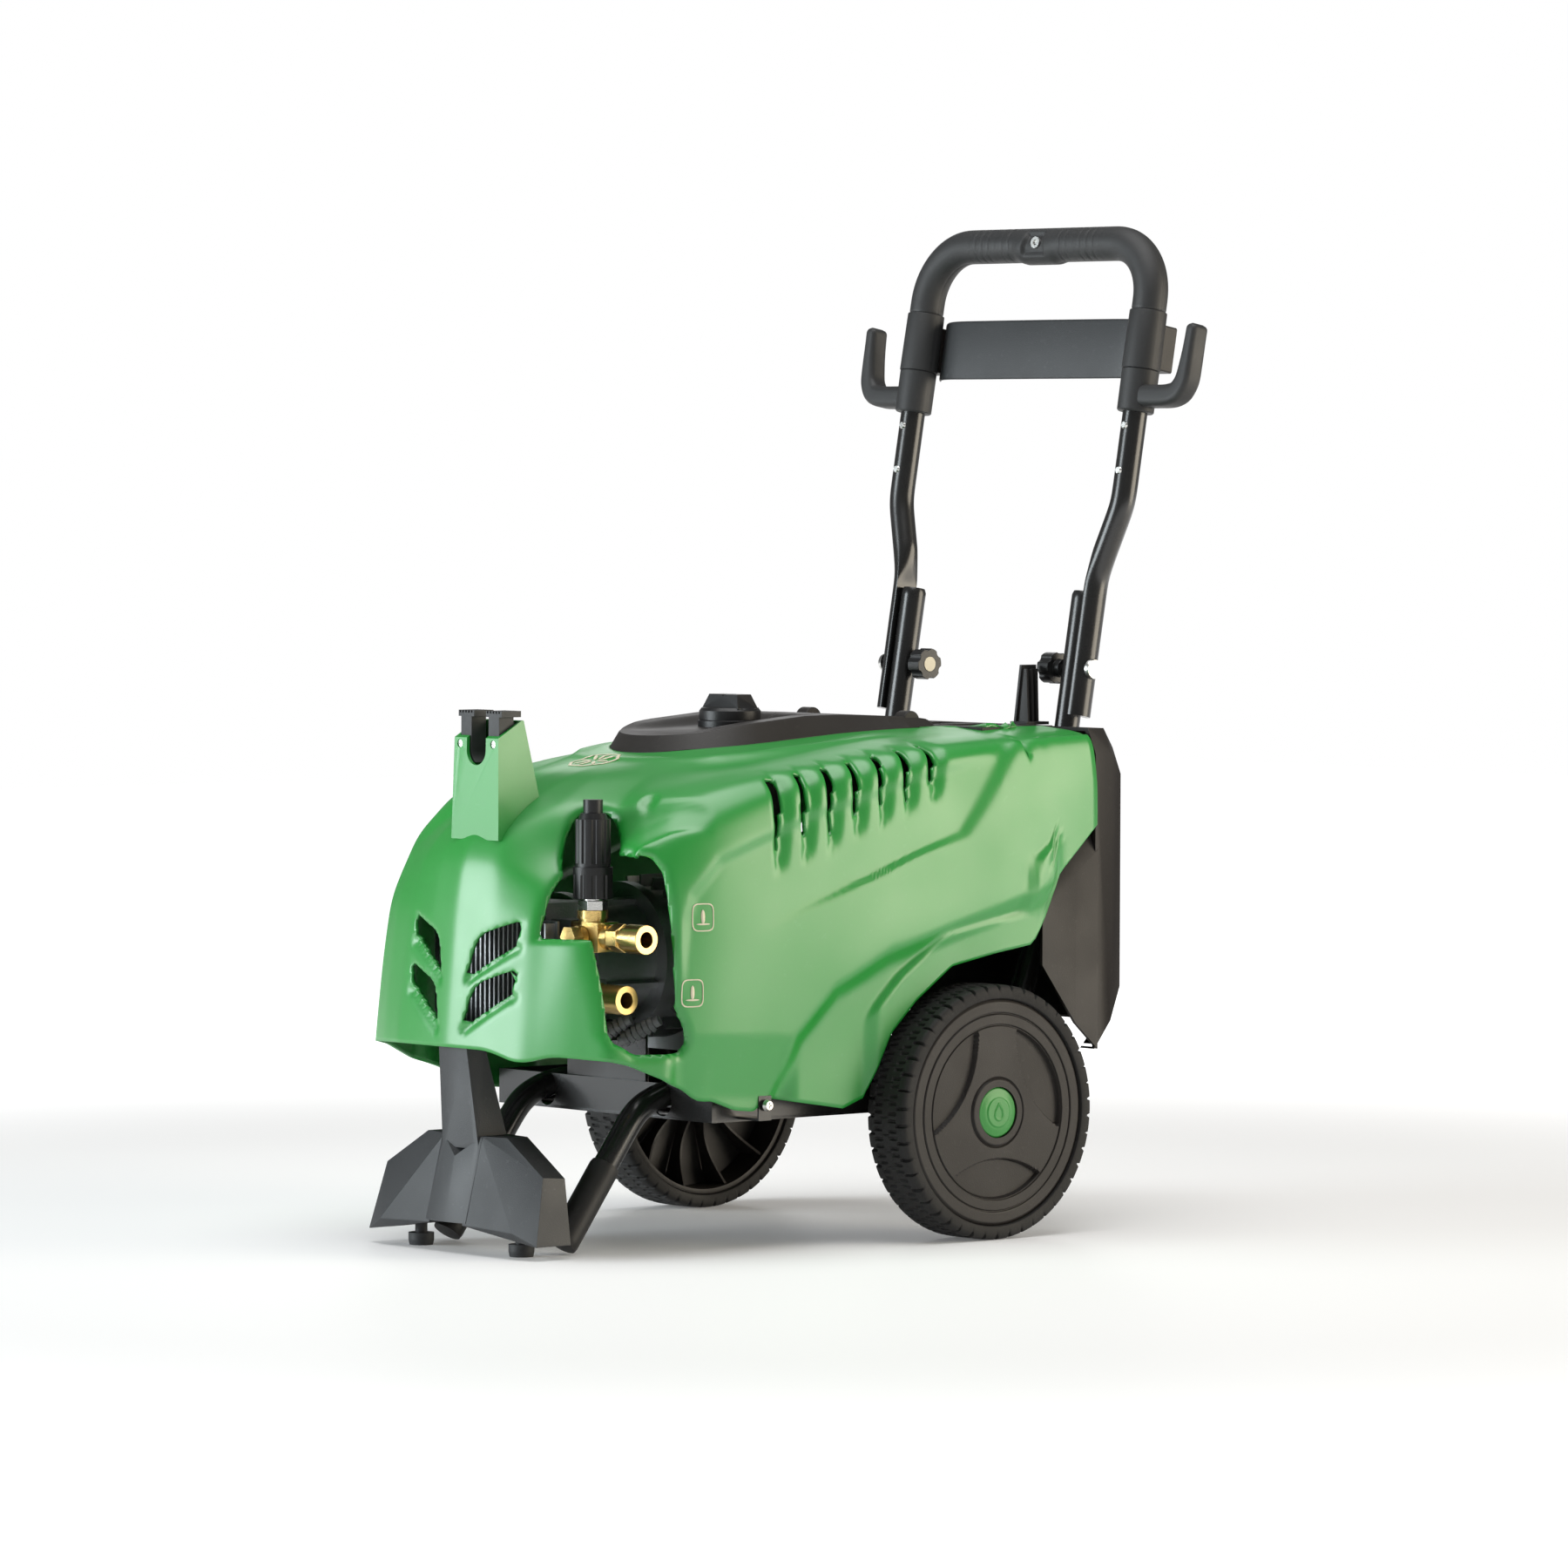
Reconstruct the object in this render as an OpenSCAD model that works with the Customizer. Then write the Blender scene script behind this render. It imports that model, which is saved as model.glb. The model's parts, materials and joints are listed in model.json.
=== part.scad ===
// Trolley pressure washer. Millimetres, +Z up, nose towards -Y, hose side +X.
// Origin: middle of the footprint, on the floor.

/* [Wheels] */
// overall tyre diameter
wheel_d = 250; // [240:1:252]
// tyre width
wheel_w = 55; // [46:1:56]
// hub bore radius over the axle
hub_bore_r = 8.05; // [8.03:0.01:8.08]
// number of tread blocks around a tyre
tread_count = 44; // [32:2:52]

/* [Handle] */
// outside diameter of the frame tubes
tube_d = 25; // [24:0.5:25]
// outside diameter of the soft grip
grip_d = 35; // [32:1:36]
// lean of the handle from vertical
handle_lean = 10; // [9:0.5:10]

/* [Hood] */
// wall of the green hood
hood_wall = 4; // [3:0.5:4]
// number of slanted side vents on each side
vent_count = 7; // [5:1:7]

/* [Pump] */
// pressure outlet bore radius
outlet_bore_r = 7.5; // [6:0.25:8]
// water inlet bore radius
inlet_bore_r = 7.5; // [6:0.25:8]
// flutes around the regulator knob
regulator_flutes = 10; // [8:1:12]

/* [Motor] */
// cooling fins around the motor casing
fin_count = 24; // [16:2:28]
// blades on the cooling fan
fan_blades = 8; // [5:1:10]

/* [Hidden] */
axle_y = 98;
axle_z = 125;
axle_r = 8;
wheel_in = 190;
pivot_y = 306;
pivot_z = 553.4;
tube_r = tube_d / 2;
tube_wall = 1.5;
grip_r = grip_d / 2;
arm_x = 166.5;
low_x = 141;
upright_x = 128;
bend_r = 58;
bar_s = 434;
leg_x = 88;
motor_z = 276;
motor_r = 80;
outlet_y = -305;
outlet_z = 306;
inlet_z = 247;
reg_x = 109;

function hood_stations() = [
  [-322, 188, 430, 60, 427, 112, 414, 150, 388, 176, 348, 186, 300, 188, 190],
  [-270, 160, 456, 60, 452, 112, 441, 158, 424, 190, 385, 200, 330, 200, 190],
  [-200, 138, 472, 80, 468, 140, 456, 184, 440, 204, 400, 209, 320, 207, 180],
  [-120, 134, 480, 92, 476, 156, 466, 193, 452, 208, 412, 213, 310, 211, 170],
  [-40, 130, 485, 92, 484, 165, 476, 198, 466, 211, 428, 216, 300, 217, 170],
  [40, 130, 491, 100, 490, 170, 486, 203, 480, 213, 440, 218, 300, 221, 170],
  [140, 130, 495, 110, 495, 178, 492, 205, 486, 214, 448, 219, 320, 222, 220],
  [262, 130, 497, 120, 497, 182, 495, 205, 490, 212, 470, 214, 400, 214, 330]
];

function half_section(s, t) = [
  [s[13] - t, s[1]],
  [s[13] - t, s[14]],
  [s[11] - t, s[12]],
  [s[9] - t, s[10] - t / 2],
  [s[7] - t * 0.8, s[8] - t * 0.8],
  [s[5] - t * 0.5, s[6] - t],
  [s[3], s[4] - t],
  [0, s[2] - t]
];

function full_section(s, t) = concat(half_section(s, t),
  [for (i = [6:-1:0]) [-half_section(s, t)[i][0], half_section(s, t)[i][1]]]);

module section_slice(s, t, at)
  translate([0, at, 0]) rotate([90, 0, 0]) linear_extrude(0.02, center = true) polygon(full_section(s, t));

module nose_slice(z, pts, back)
  translate([0, 0, z]) linear_extrude(0.02) polygon(concat(
    [[0, pts[0]]],
    [for (i = [1:2:len(pts) - 1]) [pts[i], pts[i + 1]]],
    [[pts[len(pts) - 2], back], [-pts[len(pts) - 2], back]],
    [for (i = [len(pts) - 2:-2:1]) [-pts[i], pts[i + 1]]]));

// t is how far the surface lies inside the outer skin
module nose_solid(t) {
  hull() {
    nose_slice(188, [-399 + t, 85 - t / 2, -385 + t, 186 - t, -342 + t], -321);
    nose_slice(272, [-391 + t, 84 - t / 2, -376 + t, 179 - t, -337 + t], -321);
    nose_slice(332, [-385 + t, 82 - t / 2, -370 + t, 172 - t, -334 + t], -321);
    nose_slice(376 - t / 2, [-377 + t, 80 - t / 2, -359 + t, 150 - t, -324 + t], -321);
    nose_slice(402 - t, [-364 + t, 70 - t / 2, -345 + t, 124 - t, -321.5], -321);
    nose_slice(414 - t, [-353 + t, 60 - t / 2, -336 + t, 108 - t, -321.5], -321);
    section_slice(hood_stations()[0], t, -321);
  }
}

module hood_solid(t) {
  nose_solid(t);
  for (i = [0:6]) {
    hull() {
      section_slice(hood_stations()[i], t, hood_stations()[i][0]);
      section_slice(hood_stations()[i + 1], t, hood_stations()[i + 1][0] + (i == 6 ? t : 0));
    }
  }
}

// everything below and behind the hood's edge, in side view (y, z)
module hood_under()
  rotate([90, 0, 90]) linear_extrude(600, center = true) polygon([
    [-420, 100], [-420, 196], [-400, 196], [-342, 190], [-324, 187], [-267, 163], [-196, 138], [-174, 136], [-157, 148],
    [-66, 134], [-42, 143], [-30, 167], [-12, 205], [19, 236], [64, 268], [120, 279], [169, 286], [186, 311],
    [197, 351], [256, 401], [257, 478], [241, 500], [300, 520], [300, 100]
  ]);

module top_opening(grow)
  translate([0, -77, 440]) {
    cylinder(h = 90, r = 90 + grow, $fn = 96);
    translate([-90 - grow, 0, 0]) cube([180 + 2 * grow, 237 + grow, 90]);
  }

module deck_opening(grow)
  translate([-150 - grow, 160, 440]) cube([300 + 2 * grow, 120, 90]);

// window over the pump fittings, on the hose side only
module fitting_window() {
  // upper part, open from the nose crease to the rear jamb
  translate([98, 0, 0]) rotate([90, 0, 90]) linear_extrude(140) polygon([
    [-420, 308], [-342, 308], [-342, 216], [-322, 200], [-284, 200], [-274, 212], [-278, 372], [-286, 386],
    [-330, 392], [-352, 398], [-372, 380], [-420, 380]]);
  // notch the regulator stands in
  translate([84, -350, 330]) cube([46, 72, 140]);
}

module side_vents()
  for (side = [-1, 1])
    for (i = [0:vent_count - 1])
      translate([side * 205, -144 + 33 * i, 0]) rotate([90, 0, 90]) linear_extrude(50, center = true) polygon([
        [-12, 456 + 4.6 * i], [2, 458 + 4.6 * i], [-1, 430 + 6 * i], [-13, 372 + 10.6 * i], [-16, 420 + 6 * i]]);

module nose_slots()
  for (side = [-1, 1])
    for (dz = [0, -47])
      translate([0, -400, dz]) rotate([-90, 0, 0]) mirror([0, 1, 0]) linear_extrude(60) polygon([
        [side * 82, 320], [side * 34, 306], [side * 26, 298], [side * 18, 266], [side * 76, 300]]);

module hood() color([0.05, 0.45, 0.14]) difference() {
  hood_solid(0);
  hood_solid(hood_wall);
  hood_under();
  top_opening(0.3);
  deck_opening(0.3);
  fitting_window();
  side_vents();
  nose_slots();
  hull() {
    translate([152, -312, 440]) sphere(r = 26, $fn = 24);
    translate([206, -232, 466]) sphere(r = 9, $fn = 24);
  }
  translate([0, -321, 380]) post_foot(0.2);
}

module post_foot(grow) linear_extrude(60) polygon([
  [-36.2 - grow, -41.4 - grow], [36.2 + grow, -41.4 - grow],
  [36.2 + grow, 20 + grow], [-36.2 - grow, 20 + grow]]);

module lance_post() color([0.05, 0.45, 0.14]) difference() {
  hull() {
    translate([-36, -362.3, 396]) cube([72, 61, 1]);
    translate([-33.4, -360.5, 493]) cube([66.8, 6, 0.8]);
    translate([-33.4, -331, 510]) cube([66.8, 2, 0.8]);
  }
  hull() {
    translate([-32, -358.3, 395]) cube([64, 53, 1]);
    translate([-29.4, -356.5, 520]) cube([58.8, 22, 1]);
  }
  translate([0, -330, 482]) rotate([90, 0, 0]) cylinder(h = 50, r = 14.5, $fn = 48);
  translate([-14.5, -380, 482]) cube([29, 50, 40]);
  for (side = [-1, 1]) translate([side * 25.2, -356, 487.9]) rotate([90, 0, 0]) {
    cylinder(h = 10, r = 2.2, $fn = 24);
    translate([0, 0, 1.2]) cylinder(h = 8, r = 3.9, $fn = 32);
  }
}

module lance_insert() color([0.03, 0.03, 0.03]) {
  difference() {
    translate([-29, -356, 470]) cube([58, 18, 44]);
    translate([0, -330, 482]) rotate([90, 0, 0]) cylinder(h = 50, r = 13, $fn = 48);
    translate([-13, -380, 482]) cube([26, 50, 40]);
    for (side = [-1, 1])
      translate([side * 25.2, -349, 487.9]) rotate([90, 0, 0]) cylinder(h = 10, r = 2.2, $fn = 24);
  }
  for (side = [-1, 1])
    difference() {
      translate([side * 21 - 12, -356, 514]) cube([24, 24, 6]);
      for (i = [0:4]) translate([side * 21 - 10.5 + 4.4 * i, -360, 517.5]) cube([2, 40, 5]);
    }
}

module post_screws() color([0.8, 0.8, 0.8])
  for (side = [-1, 1])
    translate([side * 25.2, -359.6, 487.9]) rotate([-90, 0, 0]) {
      difference() {
        cylinder(h = 2.2, r = 3.6, $fn = 32);
        translate([-0.4, -3, -0.1]) cube([0.8, 6, 1]);
        translate([-3, -0.4, -0.1]) cube([6, 0.8, 1]);
      }
      translate([0, 0, 2.1]) cylinder(h = 6, r = 1.9, $fn = 24);
    }

module top_cover() color([0.05, 0.045, 0.04]) difference() {
  union() {
    translate([0, -77, 462]) cylinder(h = 31, r = 89.9, $fn = 96);
    translate([0, -77, 493]) cylinder(h = 7, r1 = 89.9, r2 = 80, $fn = 96);
    translate([-89.9, -77, 462]) cube([179.8, 236, 36]);
    translate([-86, -77, 497]) cube([172, 200, 5]);
    translate([-70, -30, 501]) cube([140, 150, 5]);
  }
  translate([0, -77, 461]) cylinder(h = 32, r = 86, $fn = 96);
  translate([-86, -77, 461]) cube([172, 233, 33]);
  translate([0, -39.5, 490]) cylinder(h = 20, r = 31.8, $fn = 64);
  for (side = [-1, 1])
    translate([side * 74, 128, 502]) rotate([0, 90, 0]) cylinder(h = 16.6, r = 11.2, $fn = 48, center = true);
}

module cover_clips() color([0.05, 0.045, 0.04])
  for (side = [-1, 1])
    translate([side * 74, 128, 502]) rotate([0, 90, 0]) cylinder(h = 16, r = 11, $fn = 48, center = true);

module rear_deck() color([0.05, 0.045, 0.04]) difference() {
  translate([-149.8, 160.4, 488]) cube([299.6, 96, 10]);
  for (i = [0:3]) translate([-120 + 60 * i, 175, 495]) cube([44, 66, 4]);
}

module rear_ring(y, t, z0, z1, w) translate([0, y, 0]) rotate([90, 0, 0]) linear_extrude(0.02, center = true)
  polygon([[-w + t, z0], [w - t, z0], [w - t, z1 - 26 - t], [w - 12 - t, z1 - t], [-w + 12 + t, z1 - t],
    [-w + t, z1 - 26 - t]]);

module rear_solid(t) {
  hull() {
    rear_ring(186, t, 264, 340, 212);
    rear_ring(230, t, 205, 380, 213);
    rear_ring(262, t, 178, 402, 211);
  }
  hull() {
    rear_ring(257.8, t, 178, 497, 211);
    rear_ring(284 - t / 2, t, 205, 496, 206);
    rear_ring(306 - t, t, 238, 476, 196);
    rear_ring(327 - t, t, 262, 470, 158);
  }
}

module rear_cover() color([0.06, 0.05, 0.045]) difference() {
  rear_solid(0);
  rear_solid(3.5);
  hood_outer_keep();
  translate([-250, 100, 100]) cube([500, 84.5, 420]);
  // the floor of the cover is open between the wheel arches
  translate([-190, 180, 150]) cube([380, 104, 110]);
  for (side = [-1, 1]) {
    translate([side * 215, axle_y, axle_z]) rotate([0, 90, 0]) cylinder(h = 90, r = 146, $fn = 96, center = true);
    translate([side * upright_x, pivot_y, pivot_z]) rotate([-handle_lean, 0, 0]) translate([0, 0, -200])
      cylinder(h = 260, r = 13.2, $fn = 64);
  }
  // hole for the cable gland
  translate([-80, 300, 300]) rotate([-90, 0, 0]) cylinder(h = 40, r = 9.2, $fn = 48);
}

// the space the green hood takes, 0.3 mm larger at the seam
module hood_outer_keep() difference() {
  translate([-300, -100, 100]) cube([600, 357.3, 420]);
  translate([0, 0.3, -0.3]) rotate([90, 0, 90]) linear_extrude(700, center = true) polygon([
    [150, 90], [150, 286], [169, 286], [186, 311], [197, 351], [256, 401], [257, 478], [241, 500], [300, 520],
    [300, 90]]);
}

module side_screws() color([0.8, 0.8, 0.8])
  for (side = [-1, 1])
    translate([side * 163, -160, 142]) rotate([0, side * 90, 0]) {
      cylinder(h = 34, r = 2.5, $fn = 24);
      difference() {
        translate([0, 0, 34]) cylinder(h = 4, r1 = 5.6, r2 = 4.2, $fn = 40);
        translate([-0.6, -3, 36.2]) cube([1.2, 6, 3]);
        translate([-3, -0.6, 36.2]) cube([6, 1.2, 3]);
      }
    }

module chassis_tray() color([0.03, 0.03, 0.03]) difference() {
  union() {
    difference() {
      translate([-162.5, -200, 124.5]) cube([325, 250, 34]);
      translate([-160, -197.5, 127.5]) cube([320, 245, 40]);
      translate([-140, -170, 120]) cube([280, 60, 10]);
    }
    // folded ears the hood screws go into
    for (side = [-1, 1]) translate([side * 178 - 16, -168, 127]) cube([32, 16, 2.5]);
    for (side = [-1, 1]) translate([side * 193 - 1, -168, 127]) cube([2, 16, 24]);
  }
  for (side = [-1, 1]) {
    translate([side * 180, -160, 142]) rotate([0, 90, 0]) cylinder(h = 50, r = 2.6, $fn = 24, center = true);
    translate([side * leg_x, -198, 140.6]) rotate([90, 0, 0]) cylinder(h = 12, r = 14, $fn = 48, center = true);
    translate([side * 101.3, 49, 152]) rotate([90, 0, 0]) cylinder(h = 12, r = 14, $fn = 48, center = true);
    translate([side * 100, -140, 120]) cylinder(h = 20, r = 4.2, $fn = 24);
  }
}

module rod(a, b, r, n = 40) {
  d = b - a;
  len = norm(d);
  translate(a) rotate([0, acos(d[2] / len), atan2(d[1], d[0])]) cylinder(h = len, r = r, $fn = n);
}

// a straight stretch of frame tube, run a little past both ends so that bends close
module leg_rod(a, b, r, past = 2) {
  along = (b - a) / norm(b - a);
  rod(a - along * past, b + along * past, r, 12);
}

// one side of the frame from the top of the upright to the foot
module frame_path(side, r, hollow) {
  lean = [0, sin(handle_lean), cos(handle_lean)];
  top = [side * upright_x, pivot_y, pivot_z] + lean * (hollow ? 88 : 78);
  knee = [side * upright_x, pivot_y, pivot_z] - lean * 260;
  low = [side * 122, 214, 172];
  turn = [side * 112, 178, 152];
  front = [side * leg_x, -110, 152];
  drop = [side * leg_x, -232, 136];
  leg = [0, -61.6, -83.7] / norm([61.6, 83.7]);
  leg_rod(top, knee, r);
  leg_rod(knee, low, r);
  leg_rod(low, turn, r);
  leg_rod(turn, front, r);
  leg_rod(front, drop, r);
  leg_rod(drop, drop + leg * (hollow ? 170 : 160), r);
}

module frame_tubes() color([0.02, 0.02, 0.02]) difference() {
  for (side = [-1, 1]) frame_path(side, tube_r, false);
  for (side = [-1, 1]) frame_path(side, tube_r - tube_wall, true);
  for (side = [-1, 1]) {
    translate([side * upright_x, pivot_y, pivot_z]) rotate([0, 90, 0])
      cylinder(h = 40, r = 4.06, $fn = 32, center = true);
    translate([side * upright_x, pivot_y, pivot_z]) rotate([-handle_lean, 0, 0]) translate([-side * 12, 0, 52])
      rotate([0, 90, 0]) cylinder(h = 14, r = 4.2, $fn = 32, center = true);
  }
  translate([-200, -420, -30]) cube([400, 140, 34]);
}

module leg_sleeves() color([0.03, 0.03, 0.03]) difference() {
  for (side = [-1, 1]) {
    leg = [0, -61.6, -83.7] / norm([61.6, 83.7]);
    rod([side * leg_x, -271.2, 82.6], [side * leg_x, -232, 136] + leg * 190, 15, 48);
  }
  for (side = [-1, 1]) {
    leg = [0, -61.6, -83.7] / norm([61.6, 83.7]);
    rod([side * leg_x, -232, 136] + leg * 20, [side * leg_x, -232, 136] + leg * 164, tube_r + 0.05, 48);
  }
  translate([-200, -460, -60]) cube([400, 240, 61]);
}

module hull_of(points, s = 1) hull() for (p = points) translate(p) cube(s, center = true);

module foot_half(side) {
  // wing
  hull_of([[side * 26, -376, 112], [side * 26, -340, 112], [side * 60, -370, 112], [side * 60, -346, 112],
    [side * 119, -374, 78], [side * 119, -348, 76], [side * 128, -389, 14], [side * 128, -348, 14],
    [side * 100, -397, 26], [side * 26, -397, 28], [side * 26, -348, 28]]);
  // centre boss
  hull_of([[side * 0.5, -386, 92], [side * 30, -376, 112], [side * 30, -340, 112], [side * 0.5, -340, 112],
    [side * 0.5, -398, 30], [side * 30, -397, 30], [side * 30, -348, 30], [side * 0.5, -348, 30]]);
}

module front_foot() color([0.045, 0.05, 0.055]) difference() {
  union() {
    difference() {
      union() {
        for (side = [-1, 1]) foot_half(side);
        // column up to the bracket
        hull() {
          translate([-27.5, -379, 100]) cube([55, 38, 1]);
          translate([-21, -389.2, 199]) cube([42, 22.7, 1]);
        }
      }
      // hollow underside
      for (side = [-1, 1])
        hull_of([[side * 30, -368, 100], [side * 58, -362, 100], [side * 112, -368, 72], [side * 118, -380, 0],
          [side * 30, -390, 0], [side * 30, -352, 0], [side * 118, -352, 0], [side * 30, -352, 100],
          [side * 112, -354, 70]]);
      for (side = [-1, 1])
        translate([side * 77, -366, 5]) cylinder(h = 20, r = 10, $fn = 48);
    }
    // sockets that the stems of the rubber feet push into
    for (side = [-1, 1]) translate([side * 77, -366, 50]) cylinder(h = 41, r = 7.5, $fn = 48);
  }
  for (side = [-1, 1]) translate([side * 77, -366, 45]) cylinder(h = 33, r = 6.05, $fn = 48);
}

module rubber_feet() color([0.02, 0.02, 0.02])
  for (side = [-1, 1])
    translate([side * 77, -366, 0]) {
      cylinder(h = 5, r1 = 11.5, r2 = 12.5, $fn = 48);
      translate([0, 0, 5]) cylinder(h = 7, r = 12.5, $fn = 48);
      translate([0, 0, 12]) cylinder(h = 66, r = 6, $fn = 32);
    }

module front_bracket() color([0.03, 0.03, 0.03]) {
  // folded sheet from the tray to the column top and the pump
  difference() {
    translate([-60, -382, 200.2]) cube([120, 187.6, 3]);
    translate([-30, -350, 195]) cube([60, 110, 12]);
  }
  translate([-60, -197.4, 127.6]) cube([120, 3, 75.6]);
  for (side = [-1, 1]) translate([side * 59 - 1, -382, 200.2]) cube([2, 187.6, 12]);
}

module axle() color([0.45, 0.45, 0.46])
  translate([0, axle_y, axle_z]) rotate([0, 90, 0]) cylinder(h = 465, r = axle_r, $fn = 64, center = true);

module axle_brackets() color([0.03, 0.03, 0.03])
  for (side = [-1, 1])
    difference() {
      union() {
        translate([side * 150 - 2, axle_y - 34, axle_z - 14]) cube([4, 68, 60]);
        translate([side * 131 - 19, axle_y - 34, axle_z + 42]) cube([38, 68, 3]);
      }
      translate([side * 150, axle_y, axle_z]) rotate([0, 90, 0]) cylinder(h = 10, r = axle_r, $fn = 64, center = true);
      rod([side * 116, 226, 152.4], [side * 88, -110, 152.4], tube_r + 1.2, 48);
    }

module axle_caps() color([0.55, 0.55, 0.56])
  for (side = [-1, 1])
    translate([side * 186.5, axle_y, axle_z]) rotate([0, 90, 0]) difference() {
      cylinder(h = 4, r = 15, $fn = 48, center = true);
      cylinder(h = 6, r = axle_r, $fn = 48, center = true);
    }

module tyre() color([0.025, 0.025, 0.025]) difference() {
  rotate([0, 90, 0]) rotate_extrude($fn = 128) polygon([
    [wheel_d / 2 - 12, 0], [wheel_d / 2 - 4, 0], [wheel_d / 2, 5], [wheel_d / 2, wheel_w - 5],
    [wheel_d / 2 - 4, wheel_w], [wheel_d / 2 - 12, wheel_w], [wheel_d / 2 - 14, wheel_w - 3], [wheel_d / 2 - 14, 3]]);
  for (i = [0:tread_count - 1]) rotate([i * 360 / tread_count, 0, 0]) {
    translate([-1, -2.6, wheel_d / 2 - 4]) cube([12, 5.2, 10]);
    translate([wheel_w - 11, -2.6, wheel_d / 2 - 4]) cube([12, 5.2, 10]);
  }
}

module rim() color([0.03, 0.03, 0.03]) {
  // one turned section: hub, dished disc and barrel
  rotate([0, 90, 0]) rotate_extrude($fn = 96) polygon([
    [hub_bore_r, 2], [16, 2], [16, wheel_w - 22], [30, wheel_w - 18], [92, wheel_w - 14], [wheel_d / 2 - 19, wheel_w - 16],
    [wheel_d / 2 - 19, 3], [wheel_d / 2 - 14.2, 3], [wheel_d / 2 - 14.2, wheel_w - 3], [98, wheel_w - 5],
    [96, wheel_w - 2], [84, wheel_w - 2], [80, wheel_w - 6], [36, wheel_w - 6], [34, wheel_w - 2], [26, wheel_w - 2],
    [26, wheel_w - 12], [hub_bore_r, wheel_w - 12]]);
  for (i = [0:11]) rotate([i * 30, 0, 0]) translate([8, -1.5, 15.5]) cube([wheel_w - 23, 3, wheel_d / 2 - 33]);
}

module hub_cap() color([0.1, 0.5, 0.16]) {
  translate([wheel_w - 11.9, 0, 0]) rotate([0, 90, 0]) cylinder(h = 10.9, r = 24.7, $fn = 64);
  translate([wheel_w - 1.1, 0, 0]) rotate([0, 90, 0]) cylinder(h = 1.3, r1 = 24, r2 = 22, $fn = 64);
}

module at_wheel(side) translate([side * wheel_in, axle_y, axle_z]) mirror([side < 0 ? 1 : 0, 0, 0]) children();

module tyre_right() at_wheel(1) tyre();
module tyre_left() at_wheel(-1) tyre();
module rim_right() at_wheel(1) rim();
module rim_left() at_wheel(-1) rim();
module cap_right() at_wheel(1) hub_cap();
module cap_left() at_wheel(-1) hub_cap();

module in_handle() translate([0, pivot_y, pivot_z]) rotate([-handle_lean, 0, 0]) children();

module handle_arm(side, r, open) {
  // lower end pressed flat against the upright
  difference() {
    leg_rod([side * low_x, 0, open ? -58 : -48], [side * low_x, 0, 96], r);
    translate([side * (140.8 + (open ? tube_wall : 0)) - (side > 0 ? 40 : 0), -20, -70]) cube([40, 40, 152]);
  }
  leg_rod([side * low_x, 0, 96], [side * arm_x, 0, 166], r);
  leg_rod([side * arm_x, 0, 166], [side * arm_x, 0, 298], r);
}

module handle_bow(r, low) {
  for (side = [-1, 1]) {
    translate([side * (arm_x - bend_r), 0, bar_s - bend_r]) rotate([90, 0, 0]) mirror([side < 0 ? 1 : 0, 0, 0])
      rotate_extrude(angle = 90, $fn = 96) translate([bend_r, 0]) circle(r = r, $fn = 96);
    rod([side * arm_x, 0, low], [side * arm_x, 0, bar_s - bend_r], r, 96);
  }
  rod([-(arm_x - bend_r), 0, bar_s], [arm_x - bend_r, 0, bar_s], r, 96);
}

module handle_tube() color([0.02, 0.02, 0.02]) in_handle() difference() {
  union() {
    for (side = [-1, 1]) handle_arm(side, tube_r, false);
    handle_bow(tube_r, 300);
  }
  for (side = [-1, 1]) handle_arm(side, tube_r - tube_wall, true);
  handle_bow(tube_r - tube_wall, 300);
  for (side = [-1, 1]) translate([side * 147, 0, 0]) rotate([0, 90, 0])
    cylinder(h = 30, r = 4.05, $fn = 32, center = true);
  // rivet heads sit in round holes
  for (side = [-1, 1]) for (at = [200, 246])
    translate([side * arm_x, -tube_r - 3, at]) rotate([-90, 0, 0]) cylinder(h = 5.2, r = 4.6, $fn = 32);
}

module handle_grip() color([0.03, 0.03, 0.03]) in_handle() difference() {
  union() {
    handle_bow(grip_r, 364.2);
    rod([-20, 0, bar_s], [20, 0, bar_s], grip_r + 2.2, 64);
  }
  handle_bow(tube_r + 0.05, 350);
  translate([-15, -30, bar_s - 9]) cube([30, 20, 18]);
}

module grip_eyelet() color([0.8, 0.8, 0.8]) in_handle()
  translate([2, -13.2, bar_s]) rotate([90, 0, 0]) difference() {
    cylinder(h = 3, r = 6, $fn = 40);
    translate([0, 0, 1]) cylinder(h = 3, r = 3, $fn = 40);
  }

module handle_collars() color([0.03, 0.03, 0.03]) in_handle() difference() {
  for (side = [-1, 1]) {
    rod([side * arm_x, 0, 261], [side * arm_x, 0, 304], 18.6, 64);
    rod([side * arm_x, 0, 304], [side * arm_x, 0, 363.9], 20, 64);
    // J hook
    hull() {
      translate([side * 183, 0, 276]) cube([6, 20, 22], center = true);
      translate([side * 222, 0, 277]) cube([10, 16, 18], center = true);
    }
    hull() {
      translate([side * 222, 0, 277]) cube([10, 16, 18], center = true);
      translate([side * 237, 0, 294]) cube([16, 15, 16], center = true);
    }
    hull() {
      translate([side * 237, 0, 294]) cube([16, 15, 16], center = true);
      translate([side * 240.5, 0, 344]) cube([13, 13, 10], center = true);
    }
    // arm to the cross band
    hull() {
      translate([side * 150, 8, 312]) cube([6, 14, 46], center = true);
      translate([side * 136, 14, 318]) cube([6, 8, 56], center = true);
    }
    // outside lug behind the collar
    translate([side * 166.5, 22, 325]) cube([26, 20, 46], center = true);
  }
  for (side = [-1, 1]) rod([side * arm_x, 0, 250], [side * arm_x, 0, 370], tube_r + 0.05);
}

module handle_band() color([0.05, 0.055, 0.06]) in_handle() {
  translate([-132.8, 10.3, 290]) cube([265.6, 3.5, 60]);
  translate([-120, 13.7, 290]) cube([240, 12, 2.5]);
  translate([-120, 13.7, 347.5]) cube([240, 8, 2.5]);
}

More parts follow.
